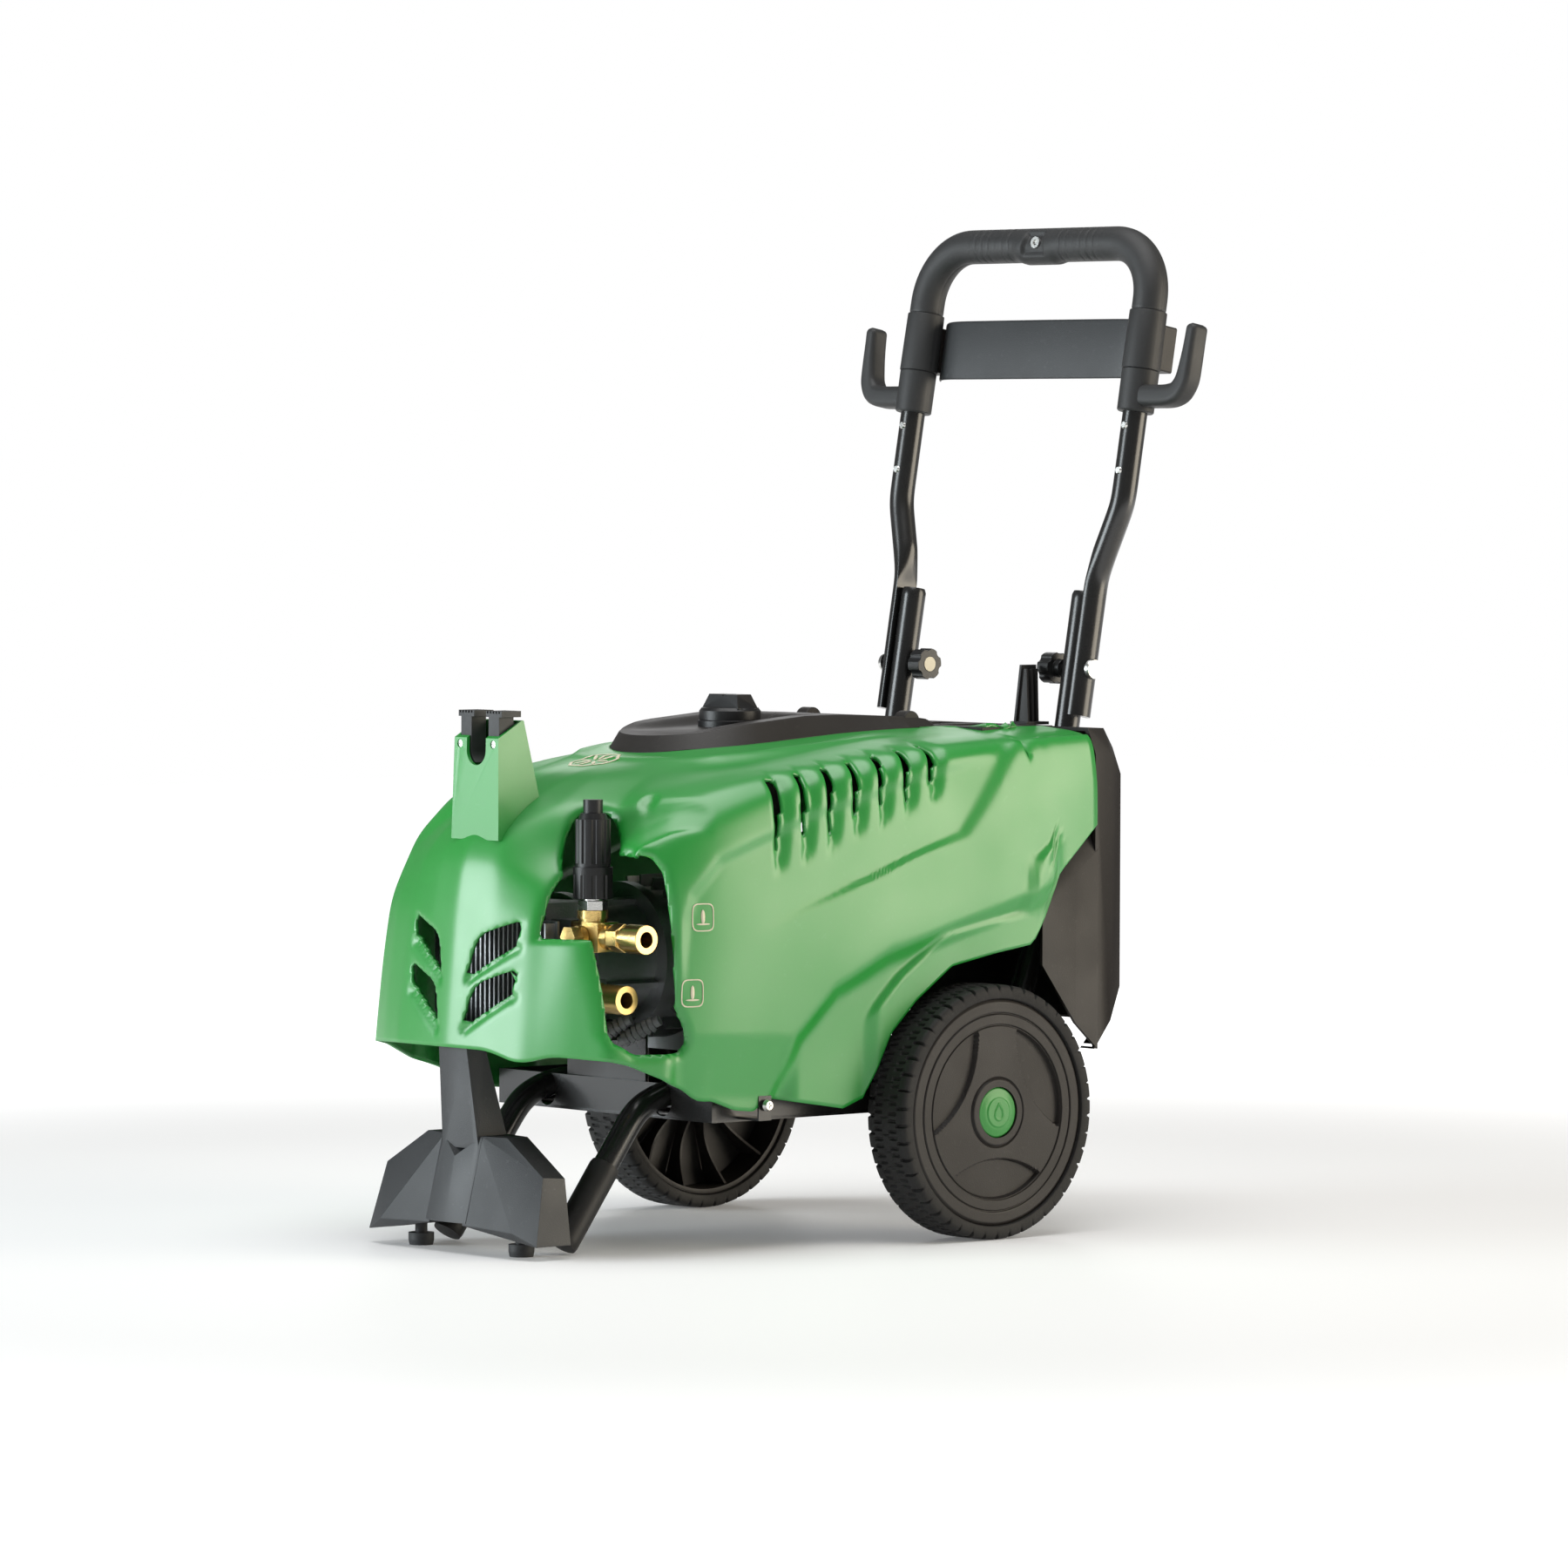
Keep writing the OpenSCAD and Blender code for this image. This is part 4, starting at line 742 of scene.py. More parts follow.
def makeTyre(name, side, s):
    # radius and width position on a grid: u round the wheel, v across from the inner bead over the tread
    # to the outer bead; shoulder blocks and staggered pairs of lugs lower or raise the radius
    cols = s["edgeBlocks"] * 12
    a = np.arange(cols) * 2 * math.pi / cols
    cross = np.array([(3, 111), (0.6, 112), (0, 113.5), (0, 120.0), (0.6, 122.4), (2.2, 124.0),
                      (4.4, 124.7), (9.0, 124.9), (11.0, 125), (12.6, 125),
                      (15.5, 125), (17.4, 125), (21.6, 125), (23.4, 125), (27.5, 125), (31.6, 125), (33.4,
                       125), (37.6, 125), (39.5, 125),
                      (42.4, 125), (44.0, 125), (46, 124.9), (50.6, 124.7), (52.8, 124.0), (54.4,
                       122.4), (55, 120.0), (55, 113.5), (54.4, 112), (52, 111)])
    x = np.broadcast_to(cross[:, 0], (cols, len(cross)))
    r = np.broadcast_to(cross[:, 1], (cols, len(cross))).copy()
    turn = a[:, None] * s["edgeBlocks"] / (2 * math.pi)
    phase = turn % 1.0
    far = (turn + 0.5) % 1.0
    gapOut = ((phase < s["blockGap"]) & (x > 43.8) & (r > 119)).astype(float)
    gapIn = ((far < s["blockGap"]) & (x < 11.2) & (r > 119)).astype(float)
    offOut, offIn = np.abs(phase - 0.5), np.abs(far - 0.5)
    lugOut = ((offOut < 0.30) & (offOut > 0.12) & (x > 33.0) & (x < 43.0)).astype(float)
    lugIn = ((offIn < 0.30) & (offIn > 0.12) & (x > 12.0) & (x < 22.0)).astype(float)
    mid = ((x > 22.6) & (x < 32.4) & (np.abs((turn % 1.0) - 0.5) < 0.07)).astype(float)
    r = r - 3.2 * gapOut - 3.2 * gapIn - 2.2 * lugOut - 2.2 * lugIn - 1.2 * mid
    g = np.stack([x, r * np.sin(a)[:, None], r * np.cos(a)[:, None]], -1)
    obj = meshObject(name, wheelPlace(g, side).reshape(-1, 3), gridFaces(*g.shape[:2], True, True))
    fixNormals(obj)
    obj.data.set_sharp_from_angle(angle=math.radians(32))
    return obj


def rimHeight(y, z, s):
    # outer face: flat disc with turned ring lines, three sunk lens fields and a ring round the hub
    r = np.hypot(y, z)
    h = np.full_like(r, s["faceAt"])
    for ring in s["rings"]:
        h -= s["ringDepth"] * np.exp(-((r - ring) / (s["ringWidth"] * 0.6)) ** 4)
    h -= 2.0 * smoothStep(107.5, 111, r)
    for k in range(3):
        ang = math.radians(180 + 120 * k)
        cy, cz = math.sin(ang), math.cos(ang)
        along = y * cy + z * cz
        across = -y * cz + z * cy
        lens = np.minimum(along - (s["lensIn"] + s["lensBow"] * across ** 2), s["lensOut"] - r)
        h -= s["lensDepth"] * smoothStep(0.0, 1.4, lens)
    h += 1.4 * smoothStep(s["hubRing"] + 1.5, s["hubRing"] - 0.5, r)
    h -= 1.6 * np.exp(-((r - s["hubRing"] - 1.6) / 1.1) ** 4)
    return h


def makeRim(name, side, s):
    # front face as height over a polar grid, then barrel and dished back as a turned section
    cols = 288
    a = np.arange(cols) * 2 * math.pi / cols
    radii = np.r_[25.1, np.linspace(26, 36, 14), np.linspace(37.2, 83, 52), np.linspace(83.4, 88, 14),
                  np.linspace(89, 110.4, 34)]
    y = radii[None, :] * np.sin(a)[:, None]
    z = radii[None, :] * np.cos(a)[:, None]
    front = np.stack([rimHeight(y, z, s), y, z], -1)
    back = np.array([(3.5, 110.6), (3.0, 108.5), (3.5, 106), (10, 105.6), (38.0, 104.5), (40.5, 92),
                     (37.5, 30), (34, 17), (3, 16), (2, 15), (2, 8.4), (40, 8.4), (43, 25)])
    b = np.stack([np.broadcast_to(back[:, 0], (cols, len(back))), back[:, 1] * np.sin(a)[:, None],
                  back[:, 1] * np.cos(a)[:, None]], -1)
    g = np.concatenate([front, b], 1)
    obj = meshObject(name, wheelPlace(g, side).reshape(-1, 3), gridFaces(*g.shape[:2], True, True))
    fixNormals(obj)
    obj.data.set_sharp_from_angle(angle=math.radians(38))
    return obj


def makeRimRibs(name, side):
    # twelve thin webs on the inner side, each a flat quad strip from hub to barrel with a hollowed edge
    t = np.linspace(0, 1, 14)
    r = 15.5 + t * 90.0
    xo = 36.0 + 3.0 * t
    xi = 7.0 + 22.0 * np.sin(np.pi * t) * 0.8
    pts, faces = [], []
    for k in range(12):
        ang = math.radians(30 * k + 15)
        c = np.array([math.sin(ang), math.cos(ang)])
        q = np.array([c[1], -c[0]]) * 1.3
        for w in (-1, 1):
            for edge in (xi, xo):
                pts.append(np.stack([edge, r * c[0] + w * q[0], r * c[1] + w * q[1]], -1))
        base = k * 4 * len(t)
        n = len(t)
        g = gridFaces(4, n, True, False)
        order = np.array([0, 1, 3, 2])
        g = order[g // n] * n + g % n + base
        faces.append(g)
    obj = meshObject(name, wheelPlace(np.concatenate(pts), side), np.concatenate(faces), smooth=False)
    fixNormals(obj)
    return obj


capSet = {"radius": 24.7, "disc": 14.4, "dome": 1.6}


def makeCap(name, side, s):
    # shallow turned cap: flat rim, sloping ring, raised inner disc with a plain drop shape on it
    cols = 96
    a = np.arange(cols) * 2 * math.pi / cols
    r = np.r_[0.05, np.linspace(1.2, 16, 22), np.linspace(16.8, 24.0, 10), 24.5, 24.7, 24.7]
    x = 53.0 + s["dome"] * smoothStep(24.5, 15.5, r) + 0.9 * smoothStep(s["disc"] + 0.9, s["disc"] - 0.6,
                                                                        r) - 1.6 * smoothStep(23.6, 24.7, r)
    x[-1] = 44.0
    y, z = r[None, :] * np.sin(a)[:, None], r[None, :] * np.cos(a)[:, None]
    body = np.hypot(y, z + 2.0) - 5.2
    tip = np.abs(y) - np.clip(0.62 * (9.0 - z), 0, 5.2)
    drop = np.where(z > 0.6, np.maximum(tip, z - 9.0), body)
    h = np.broadcast_to(x, y.shape) + 0.7 * smoothStep(0.5, -0.5, np.abs(drop) - 0.8) * (r < s["disc"])
    g = np.stack([h, y, z], -1)
    faces = gridFaces(cols, len(r), True, False).tolist()
    inner, outer = [i * len(r) for i in range(cols)], [i * len(r) + len(r) - 1 for i in range(cols)]
    obj = meshObject(name, wheelPlace(g, side).reshape(-1, 3), faces + [inner] + [outer[::-1]])
    fixNormals(obj)
    obj.data.set_sharp_from_angle(angle=math.radians(50))
    return obj


for wheelName, side in (("right", 1), ("left", -1)):
    body = "wheel_" + wheelName
    dress(makeTyre("tyre" + wheelName.title(), side, wheelSet), body, "tyre_rubber", "tyre_" + wheelName)
    dress(makeRim("rim" + wheelName.title(), side, wheelSet), body, "wheel_plastic", "rim_" + wheelName)
    dress(makeRimRibs("rimRibs" + wheelName.title(), side), body, "wheel_plastic")
    dress(makeCap("hubCap" + wheelName.title(), side, capSet), body, "cap_plastic", "cap_" + wheelName)
print("wheels made")


# handle
handleSet = {
    "pivot": (306.0, 553.4), "lean": 10.0, "armX": 166.5, "lowX": 141.0, "tube": 12.5, "bow": 58.0, "bar": 434.0,
    "grip": 17.5, "gripLow": 364.0, "bulge": 2.4, "fingerDepth": 0.9, "fingerPitch": 10.0,
}


def inHandle(g, s=handleSet):
    # handle frame (across, back, along the arms) to the machine frame
    a = math.radians(s["lean"])
    x, y, z = g[..., 0], g[..., 1], g[..., 2]
    return np.stack([x, s["pivot"][0] + y * math.cos(a) + z * math.sin(a),
                     s["pivot"][1] - y * math.sin(a) + z * math.cos(a)], -1)


def handlePath(s, low, step):
    # up one arm, round the bow, across the bar and down the other arm
    x, b, top = s["armX"], s["bow"], s["bar"]
    t = np.linspace(0, math.pi / 2, 24)
    arc = np.stack([x - b + b * np.cos(t), 0 * t, top - b + b * np.sin(t)], -1)
    right = np.array([[x, 0, low]])
    if low < 90:
        right = np.array([[s["lowX"], 0, low], [s["lowX"], 0, 92], [x, 0, 168]])
    half = np.concatenate([right, arc])
    line = np.concatenate([half, (half * [-1, 1, 1])[::-1]])
    return smoothPath(line, step, 0)


def makeHandleTube(s):
    path = handlePath(s, -48.0, 3.0)
    path = gaussRows(path, 3.0)
    along = path[:, 2]
    prof = roundProfile(s["tube"], 40)[None].repeat(len(path), 0)
    flat = smoothStep(122, 78, along) * (np.abs(path[:, 0]) < 175)
    # lower ends are pressed: the side towards the machine is flat and the outer side stays round
    side = -np.sign(path[:, 0])[:, None]
    t = np.gradient(path, axis=0)
    t /= np.linalg.norm(t, axis=1)[:, None]
    ring = carryProfile(path, prof, (0.0, 1.0, 0.0))
    inner = (ring[..., 0] - path[:, None, 0]) * side
    keep = np.maximum(inner - 1.0, 0)
    wide = 1 + 0.10 * flat[:, None]
    ring[..., 0] -= side * keep * flat[:, None]
    ring[..., 1] = path[:, None, 1] + (ring[..., 1] - path[:, None, 1]) * wide
    g = inHandle(ring)
    rows, cols = g.shape[:2]
    faces = sweptFaces(rows, cols)
    obj = meshObject("handleTubeSkin", g.reshape(-1, 3), faces)
    fixNormals(obj)
    obj.data.set_sharp_from_angle(angle=math.radians(48))
    return dress(obj, "handle", "black_steel", "handle_tube")


def makeGrip(s):
    # tube of radius 17.5 along the bow; radius grows to an oval swelling at the middle, dips in shallow
    # finger lines on the front, has two fine seams and a window with sloping sides for the eyelet
    path = handlePath(s, s["gripLow"], 1.6)
    path = gaussRows(path, 2.0)
    cols = 96
    x = path[:, 0][:, None]
    top = smoothStep(0.92, 1.0, path[:, 2] / s["bar"])[:, None]
    ring0 = carryProfile(path, roundProfile(1.0, cols), (0.0, 1.0, 0.0)) - path[:, None, :]
    front, up = -ring0[..., 1], ring0[..., 2] * top
    r = np.full(front.shape, s["grip"])
    ax = np.abs(x) + 0 * r
    r = r + s["bulge"] * smoothStep(34, 20, ax) * smoothStep(0.6, -0.8, up) * top
    finger = np.abs(((ax - 38) / s["fingerPitch"]) % 1.0 - 0.5) * 2
    r = r - s["fingerDepth"] * smoothStep(0.80, 1.0, finger) * smoothStep(32, 38, ax) * smoothStep(104, 98,
        ax) * smoothStep(-0.2, 0.5, front) * top
    seam = np.abs(front) * s["grip"]
    r = r - 0.55 * np.exp(-(seam / 0.8) ** 2)
    end = np.minimum(np.linalg.norm(path - path[0], axis=1), np.linalg.norm(path - path[-1], axis=1))[:,
                                                                                                      None]
    r = r - 0.9 * smoothStep(1.4, 0.0, end)
    windowX = ax - 17.5 + 3.0 * smoothStep(-0.5, 0.5, up)
    pocket = smoothStep(0.0, -4.0, windowX) * smoothStep(0.50, 0.72, front) * smoothStep(0.75, 0.55,
                                                                                         np.abs(up)) * top
    r = r - 4.4 * pocket
    ring = path[:, None, :] + ring0 * r[..., None]
    g = inHandle(ring)
    rows = g.shape[0]
    faces = sweptFaces(rows, cols)
    obj = meshObject("gripSleeve", g.reshape(-1, 3), faces)
    fixNormals(obj)
    obj.data.set_sharp_from_angle(angle=math.radians(60))
    return dress(obj, "handle", "soft_grip", "handle_grip")


def ovalStack(x, y, heights, radii, cols=64):
    # round sleeve: radius given at a few heights, turned about the arm
    a = np.arange(cols) * 2 * math.pi / cols
    h, r = np.asarray(heights, float)[:, None], np.asarray(radii, float)[:, None]
    seam = 0.5 * np.exp(-((np.abs(np.sin(a)) * 18) / 0.9) ** 2)
    return np.stack([x + (r - seam) * np.cos(a), y + (r - seam) * np.sin(a), h + 0 * a], -1)


def makeCollars(s):
    for sideName, side in (("Right", 1), ("Left", -1)):
        lower = ovalStack(side * s["armX"], 0, [261, 261, 262.2, 303.2, 303.8],
                          [12.9, 17.6, 18.7, 18.9, 18.3])
        upper = ovalStack(side * s["armX"], 0, [303.9, 304.4, 362.6, 363.6, 363.9],
                          [18.6, 19.6, 19.0, 18.6, 17.6])
        g = np.concatenate([lower, upper])
        rows, cols = g.shape[:2]
        sleeve = meshObject("collar" + sideName, inHandle(g).reshape(-1, 3),
                            sweptFaces(rows, cols))
        fixNormals(sleeve)
        sleeve.data.set_sharp_from_angle(angle=math.radians(40))
        dress(sleeve, "handle", "soft_grip", *(("handle_collars",) if side == 1 else ()))
        # hook: rounded bar out from the sleeve, turning up into a tapering finger
        line = smoothPath([(178, 0, 277), (214, 0, 277), (228, 0, 280), (236, 0, 292), (238.5, 0, 318),
                           (240, 0, 350)], 1.6, 5.0)
        line[:, 0] *= side
        t = np.linspace(0, 1, len(line))
        w = 22.0 - 8.0 * smoothStep(0.3, 0.9, t)
        tip = np.sqrt(np.clip(1 - np.clip((t - 0.955) / 0.045, 0, 1) ** 2, 0.02, 1))
        box = boxProfile(25.5, 22.0, 7.0, 6)
        prof = np.stack([np.stack([box[:, 0] * (k * 0.4 + 0.6) * (1 - 0.16 * q), box[:, 1] * v / 22.0 * k],
                                  -1) for v, k, q in zip(w, tip, t)])
        hook = carryProfile(line, prof, (0.0, 1.0, 0.0))
        rows, cols = hook.shape[:2]
        obj = meshObject("hoseHook" + sideName, inHandle(hook).reshape(-1, 3),
                         sweptFaces(rows, cols))
        fixNormals(obj)
        obj.data.set_sharp_from_angle(angle=math.radians(50))
        dress(obj, "handle", "soft_grip")
        # lug behind the sleeve that the cross band screws to
        lug = np.array([(13, 9), (13, 30), (10, 33), (-10, 33), (-13, 30), (-13, 9)], float)
        hs = np.array([306, 307.5, 350.5, 352])[:, None, None]
        grow = np.array([0.94, 1, 1, 0.94])[:, None]
        g = np.concatenate([np.stack([side * s["armX"] + lug[:, 0] * grow, 20 + (lug[:, 1] - 20) * grow],
                                     -1), hs + np.zeros((4, len(lug), 1))], -1)
        obj = meshObject("bandLug" + sideName, inHandle(g).reshape(-1, 3),
                         sweptFaces(4, len(lug)), smooth=False)
        fixNormals(obj)
        dress(obj, "handle", "wheel_plastic")


def makeBand():
    # sheet between the sleeves: bowed forward in the middle, its ends curl back to the lugs
    line = smoothPath([(-160, 24, 0), (-150, 14, 0), (-136, 9.0, 0), (-124, 7.6, 0), (0, 6.8, 0),
                       (124, 7.6, 0), (136, 9.0, 0), (150, 14, 0), (160, 24, 0)], 3.0, 6.0)
    line[:, 2] = 328.0
    n = len(line)
    t = np.linspace(-1, 1, n)[:, None]
    h = np.array([-30.5, -29.6, -28, 28, 29.6, 30.5])[None, :] * (1 - 0.03 * np.abs(t) ** 6)
    back = np.array([1.2, 0.4, 0, 0, 0.4, 1.2])[None, :]
    front = np.stack([line[:, 0:1] + 0 * h, line[:, 1:2] + back, line[:, 2:3] + h], -1)
    rear = front[:, ::-1].copy()
    rear[..., 1] += 3.2 - 2 * back[:, ::-1] * 0.8
    g = np.concatenate([front, rear], 1)
    rows, cols = g.shape[:2]
    obj = meshObject("crossBand", inHandle(g).reshape(-1, 3),
                     sweptFaces(rows, cols))
    fixNormals(obj)
    obj.data.set_sharp_from_angle(angle=math.radians(40))
    dress(obj, "handle", "foot_plastic", "handle_band")


makeHandleTube(handleSet)
makeGrip(handleSet)
makeCollars(handleSet)
makeBand()
print("handle made")


# pressed and moulded parts with softened edges
softSet = {
    # node: (new name, edge radius in mm, finish)
    "rear_cover": ("rearCover", 2.6, "brown_black_plastic"), "front_foot": ("frontFoot", 2.2,
                                                                            "foot_plastic"),
    "lance_post": ("lancePost", 1.4, "green_plastic"), "lance_insert": ("lanceInsert", 0.5,
                                                                        "insert_rubber"),
    "dial_ring": ("dialRing", 0.8, "knob_plastic"), "power_knob": ("powerKnob", 1.0, "knob_plastic"),
    "side_bracket": ("sideBracket", 0.7, "black_plastic"), "star_knob_right": ("starKnobRight", 0.8,
                                                                               "knob_plastic"),
    "star_knob_left": ("starKnobLeft", 0.8, "knob_plastic"), "regulator_knob": ("regulatorKnob", 0.8,
                                                                                "knob_plastic"),
    "pump_head": ("pumpHead", 1.2, "cast_alloy"), "unloader_body": ("unloaderBody", 0.9, "brass"),
    "outlet_fitting": ("outletFitting", 0.6, "brass"), "inlet_fitting": ("inletFitting", 0.6, "brass"),
    "unloader_nut": ("unloaderNut", 0.5, "bright_steel"), "brass_plug": ("brassPlug", 0.6, "brass"),
    "chassis_tray": ("chassisTray", 0.8, "black_steel"), "front_bracket": ("frontBracket", 0.6,
                                                                           "black_steel"),
    "rear_deck": ("rearDeck", 0.8, "brown_black_plastic"),
    "cover_clips": ("coverClips", 1.2, "brown_black_plastic"),
}
bodyOf = {n: b for b, names in frame["record"]["behaviour"]["bodies"].items() for n in names}


def softened(node, name, width, finish):
    b = bmesh.new()
    b.from_mesh(nodes[node].data)
    bmesh.ops.remove_doubles(b, verts=b.verts, dist=0.00002)
    bmesh.ops.dissolve_limit(b, angle_limit=math.radians(1.5), verts=b.verts, edges=b.edges)
    mesh = bpy.data.meshes.new(name)
    b.to_mesh(mesh)
    b.free()
    mesh.polygons.foreach_set("use_smooth", np.ones(len(mesh.polygons), bool))
    mesh.set_sharp_from_angle(angle=math.radians(34))
    obj = bpy.data.objects.new(name, mesh)
    bpy.context.scene.collection.objects.link(obj)
    m = bevel(obj, width, 3, 32)
    m.use_clamp_overlap = True
    dress(obj, bodyOf[node], finish, node)
    return obj


for node, (name, width, finish) in softSet.items():
    softened(node, name, width, finish)
print("softened parts made:", len(softSet))
coverSet = {
    # opening of radius 89.6 about (0, -77), straight sides back to y = 159
    "radius": 89.6, "centre": -77.0, "rear": 159.0, "corner": 10.0, "chamfer": 9.0, "skirt": 13.0,
    "edge": [(-167, 475.5), (-145, 479.3), (-76, 485.5), (34, 493.5), (136, 497.5)],
    "crest": [(-167, 492), (-137, 495.5), (-100, 502), (-74, 505), (-11, 510.5), (34, 511), (100, 508.5),
              (136, 506.7), (160, 504)],
    "dial": -39.5, "rings": 46, "wall": 2.2,
}


def coverOutline(s):
    r, c, e, k = s["radius"], s["centre"], s["rear"], s["corner"]
    a = np.linspace(math.pi, 2 * math.pi, 90)
    front = np.stack([r * np.cos(a), c + r * np.sin(a)], -1)
    b = np.linspace(0, math.pi / 2, 8)
    right = np.stack([r - k + k * np.cos(b), e - k + k * np.sin(b)], -1)
    loop = np.concatenate([front, right, right[::-1] * [-1, 1], front[:1]])
    return smoothPath(np.c_[loop, 0 * loop[:, 0]], 3.0, 0)[:-1, :2]


def makeTopCover(s):
    # rings step in from the outline to the middle line: skirt, sloping side, then the crowned top, whose
    # floor stays low round the dial; height = floor + (crest - floor) * max(side ramp, rear ramp)
    out = coverOutline(s)
    spine = np.stack([0 * out[:, 0], np.clip(out[:, 1], s["centre"], s["rear"] - s["radius"])], -1)
    gap = np.linalg.norm(out - spine, axis=1)
    inset = np.r_[0.0, 0.0, 0.4, s["chamfer"] - 0.8, s["chamfer"],
                  np.linspace(s["chamfer"] + 0.8, 89.0, s["rings"])]
    t = np.minimum(inset[:, None] / gap, 0.995)
    g = out[None] + (spine - out)[None] * t[..., None]
    x, y = np.abs(g[..., 0]), g[..., 1]
    edge = np.interp(out[:, 1], *zip(*s["edge"]))[None] + 0 * x
    crest = np.interp(out[:, 1], *zip(*s["crest"]))[None] + 0 * x
    here = np.interp(y, *zip(*s["crest"]))
    floor = 495.5 + 0.045 * np.clip(y + 137, 0, 100)
    ramp = np.maximum(smoothStep(33, 60, x), smoothStep(-2, 24, y))
    top = np.minimum(floor, here) + (here - np.minimum(floor, here)) * ramp
    top = np.where(np.hypot(g[..., 0], y - s["dial"]) < 33, np.minimum(top, 499.6), top)
    deep = inset[:, None]
    slope = np.clip(deep / s["chamfer"], 0, 1)
    side = edge + (crest - edge) * slope
    z = np.where(deep > s["chamfer"], np.minimum(top, crest + 0.15 * (deep - s["chamfer"])),
                 side - 0.9 * (np.abs(deep - s["chamfer"]) < 0.1))
    z[0] = edge[0] - s["skirt"]
    z[1] = edge[1] + 0.4
    pts = np.concatenate([g, z[..., None]], -1)
    rows, cols = x.shape
    obj = meshObject("topCover", pts.reshape(-1, 3), gridFaces(rows, cols, False, True))
    fixNormals(obj, 0.00035)
    obj.data.set_sharp_from_angle(angle=math.radians(40))
    thicken(obj, s["wall"])
    return dress(obj, "chassis", "brown_black_plastic", "top_cover")


makeTopCover(coverSet)
print("top cover made")

frameSet = {
    "pivot": (306.0, 553.4), "lean": 10.0, "upX": 128.0, "legX": 88.0, "tube": 12.5, "sleeve": 15.0,
    "legDrop": (0.0, -61.6, -83.7),
}


def sweptTube(name, path, radii, cols, body, slotName, *stands):
    # round section of the given radius carried along the path, both ends closed
    prof = roundProfile(1.0, cols)[None] * np.asarray(radii, float)[:, None, None]
    g = carryProfile(path, prof, (1.0, 0.0, 0.0))
    rows = len(path)
    obj = meshObject(name, g.reshape(-1, 3), sweptFaces(rows, cols))
    fixNormals(obj)
    obj.data.set_sharp_from_angle(angle=math.radians(50))
    return dress(obj, body, slotName, *stands)


def makeFrameTubes(s):
    # upright, knee under the tray, long rail and front leg as one bent tube per side
    a = math.radians(s["lean"])
    up = np.array([0.0, math.sin(a), math.cos(a)])
    leg = np.array(s["legDrop"]) / np.linalg.norm(s["legDrop"])
    for sideName, side in (("Right", 1), ("Left", -1)):
        pivot = np.array([s["upX"], *s["pivot"]])
        toe = np.array([s["legX"], -232.0, 136.0])
        pts = [pivot + 78 * up, pivot + 40 * up, pivot - 120 * up, pivot - 258 * up, (124, 232, 210),
               (119, 205, 166), (112, 172, 152),
               (s["legX"] + 4, -60, 152), (s["legX"], -120, 152), (s["legX"], -196,
                                                                   150), toe, toe + 150 * leg]
        path = smoothPath(pts, 4.0, 13.0)
        path = path[path[:, 2] > 8.0]
        path[:, 0] *= side
        n = len(path)
        radii = np.full(n, s["tube"])
        radii[[0, -1]] -= 1.6
        sweptTube("frameTube" + sideName, path, radii, 36, "chassis", "black_steel",
                  *(("frame_tubes",) if side == 1 else ()))
        start = np.array([s["legX"], -271.2, 82.6])
        end = start + leg * (start[2] - 9.0) / -leg[2]
        run = np.linspace(0, 1, 26)[:, None]
        line = start + (end - start) * run
        line[:, 0] *= side
        thick = s["sleeve"] - 0.9 * (run[:, 0] < 0.02) - 0.9 * (run[:, 0] > 0.98)
        sweptTube("legSleeve" + sideName, line, thick, 40, "chassis", "black_plastic",
                  *(("leg_sleeves",) if side == 1 else ()))


makeFrameTubes(frameSet)
print("frame tubes made")

printSet = {"lift": 0.35, "film": 0.4, "emblemAt": (0.0, -213.0), "emblemSize": 27.0,
            "icons": ((-245.0, 326.0), (-257.0, 254.0)), "iconSize": 12.0}


def regularLoop(sides, radius, turn=0.0, stretch=1.0):
    a = np.arange(sides) * 2 * math.pi / sides + turn
    return np.stack([radius * np.cos(a), radius * stretch * np.sin(a)], -1)


def ringStrip(loop, width, per=6):
    # closed band between an outline and the same outline shrunk by the width
    size = np.linalg.norm(loop, axis=1).max()
    n = len(loop)
    t = np.arange(n * per) / per
    k = t.astype(int)
    dense = loop[k] * (1 - (t - k))[:, None] + loop[(k + 1) % n] * (t - k)[:, None]
    return np.stack([dense, dense * (1 - width / size)], 0)


def leafStrip(angle, near, far, wide):
    # a drop-shaped leaf pointing outward, as two rows of points
    t = np.linspace(0, 1, 9)
    w = wide * np.sqrt(t) * np.sqrt(np.clip(1 - t, 0, 1)) * 1.6 + 0.05
    r = near + (far - near) * t
    a = math.radians(angle)
    d, e = np.array([math.cos(a), math.sin(a)]), np.array([-math.sin(a), math.cos(a)])
    return np.stack([r[:, None] * d + w[:, None] * e, r[:, None] * d - w[:, None] * e], 0)


def onHood(points, axis):
    # nearest points of the hood grid give the missing coordinate by inverse squared distance
    q = hoodGrid.reshape(-1, 3)
    q = q[(q[:, 2] > 420) & (np.abs(q[:, 0]) < 80)] if axis == 2 else q[(q[:, 0] > 150) & (q[:, 1] < -180)]
    keep = [c for c in range(3) if c != axis]
    d = ((points[:, None, :] - q[None][:, :, keep]) ** 2).sum(-1)
    near = np.argsort(d, axis=1)[:, :6]
    w = 1.0 / (np.take_along_axis(d, near, 1) + 0.05)
    return (q[near][..., axis] * w).sum(1) / w.sum(1)


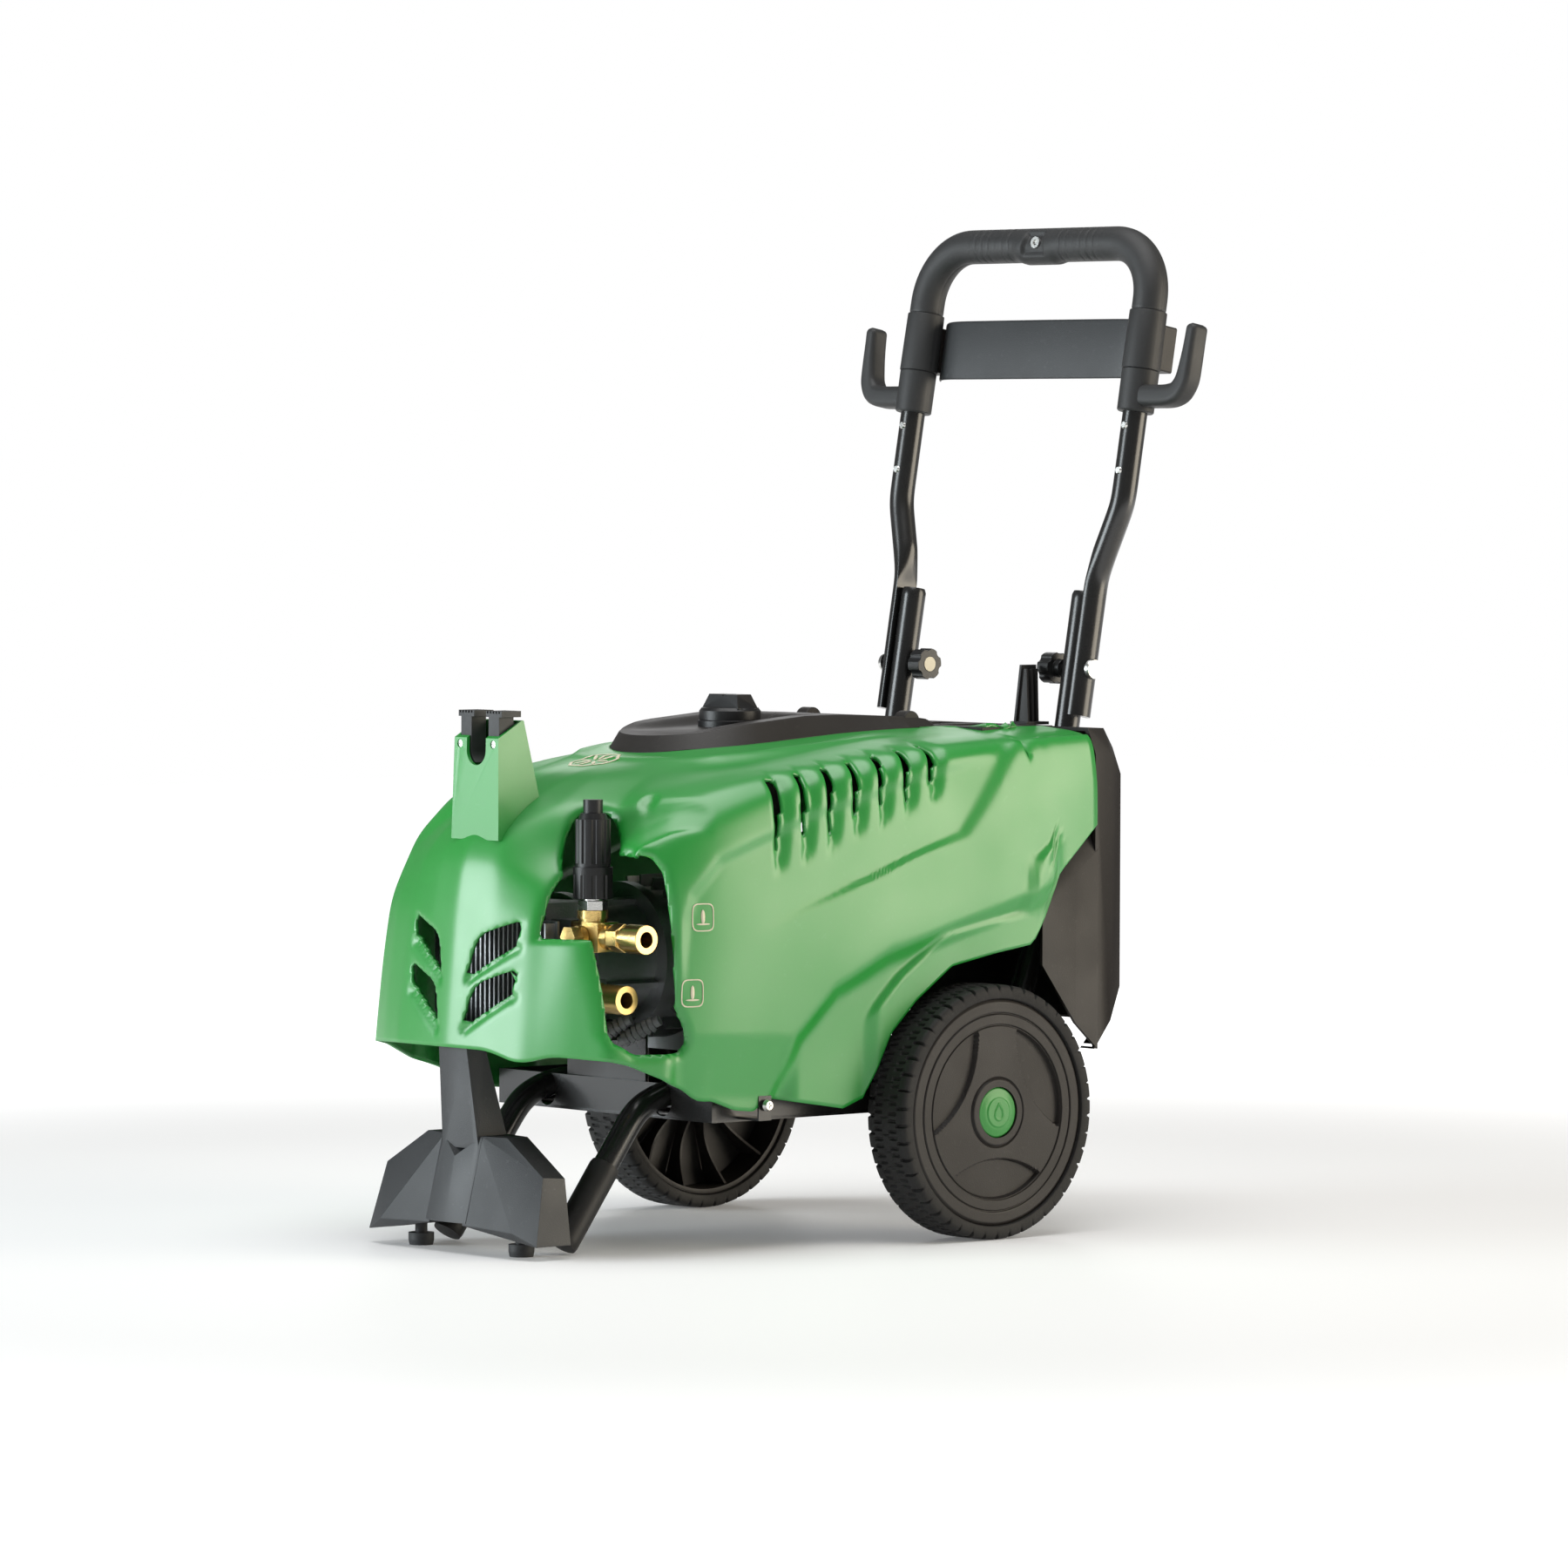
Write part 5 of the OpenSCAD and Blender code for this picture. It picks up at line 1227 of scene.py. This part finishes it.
def makePrints(s):
    groups = []
    for strip, closed in [(ringStrip(regularLoop(8, s["emblemSize"], math.pi / 8), 3.4),
                           True)] + [(leafStrip(45 * k, 4.0, 20.0, 2.3), False) for k in range(8)]:
        groups.append((strip + np.array(s["emblemAt"]), 2, closed))
    for y, z in s["icons"]:
        frameLoop = regularLoop(32, 1.0)
        frameLoop = np.sign(frameLoop) * np.abs(frameLoop) ** 0.45 * s["iconSize"] * np.array([1.0, 1.12])
        groups.append((ringStrip(frameLoop, 1.3, 2) + (y, z), 0, True))
        groups.append((leafStrip(90, -6.5, 7.5, 2.6) + (y, z), 0, False))
        groups.append((leafStrip(0, -7.5, 7.5, 1.0) + (y, z - 6.5), 0, False))
    points, faces, start = [], [], 0
    for strip, axis, closed in groups:
        rows, cols = strip.shape[:2]
        flat = strip.reshape(-1, 2)
        lost = onHood(flat, axis) + s["lift"]
        p = np.insert(flat, axis, lost, axis=1)
        points.append(p)
        faces.append(gridFaces(rows, cols, False, closed, start))
        start += rows * cols
    obj = meshObject("printedMarks", np.concatenate(points), np.concatenate(faces))
    fixNormals(obj)
    thicken(obj, s["film"], 0.0)
    return dress(obj, "chassis", "cream_plastic")


makePrints(printSet)
print("prints made")


# floor
floorSet = {"half": 9.0, "colour": (0.90, 0.90, 0.90), "rough": 0.5, "fadeFrom": 1.1, "fadeTo": 2.8}


def makeFloor(s):
    # a flat sheet on a 61 x 61 grid; its far part gives off white so that it runs into the backdrop
    t = np.linspace(-s["half"], s["half"], 61)
    x, y = np.meshgrid(t, t, indexing="ij")
    obj = meshObject("studioFloor", np.stack([x, y, 0 * x], -1).reshape(-1, 3) * 1000.0, gridFaces(61, 61))
    m = bpy.data.materials.new("paleFloor")
    m.use_nodes = True
    n, l = m.node_tree.nodes, m.node_tree.links
    p = n["Principled BSDF"]
    p.inputs["Base Color"].default_value = (*s["colour"], 1)
    p.inputs["Roughness"].default_value = s["rough"]
    p.inputs["Specular IOR Level"].default_value = 0.25
    p.inputs["Emission Color"].default_value = (1.0, 1.0, 1.0, 1.0)
    away, ramp = n.new("ShaderNodeVectorMath"), n.new("ShaderNodeMapRange")
    away.operation = "LENGTH"
    l.new(n.new("ShaderNodeTexCoord").outputs["Object"], away.inputs[0])
    l.new(away.outputs["Value"], ramp.inputs["Value"])
    ramp.interpolation_type = "SMOOTHSTEP"
    ramp.inputs["From Min"].default_value = s["fadeFrom"]
    ramp.inputs["From Max"].default_value = s["fadeTo"]
    ramp.inputs["To Min"].default_value = 0.10
    ramp.inputs["To Max"].default_value = 0.9
    l.new(ramp.outputs["Result"], p.inputs["Emission Strength"])
    obj.data.materials.append(m)


makeFloor(floorSet)
print("finished")
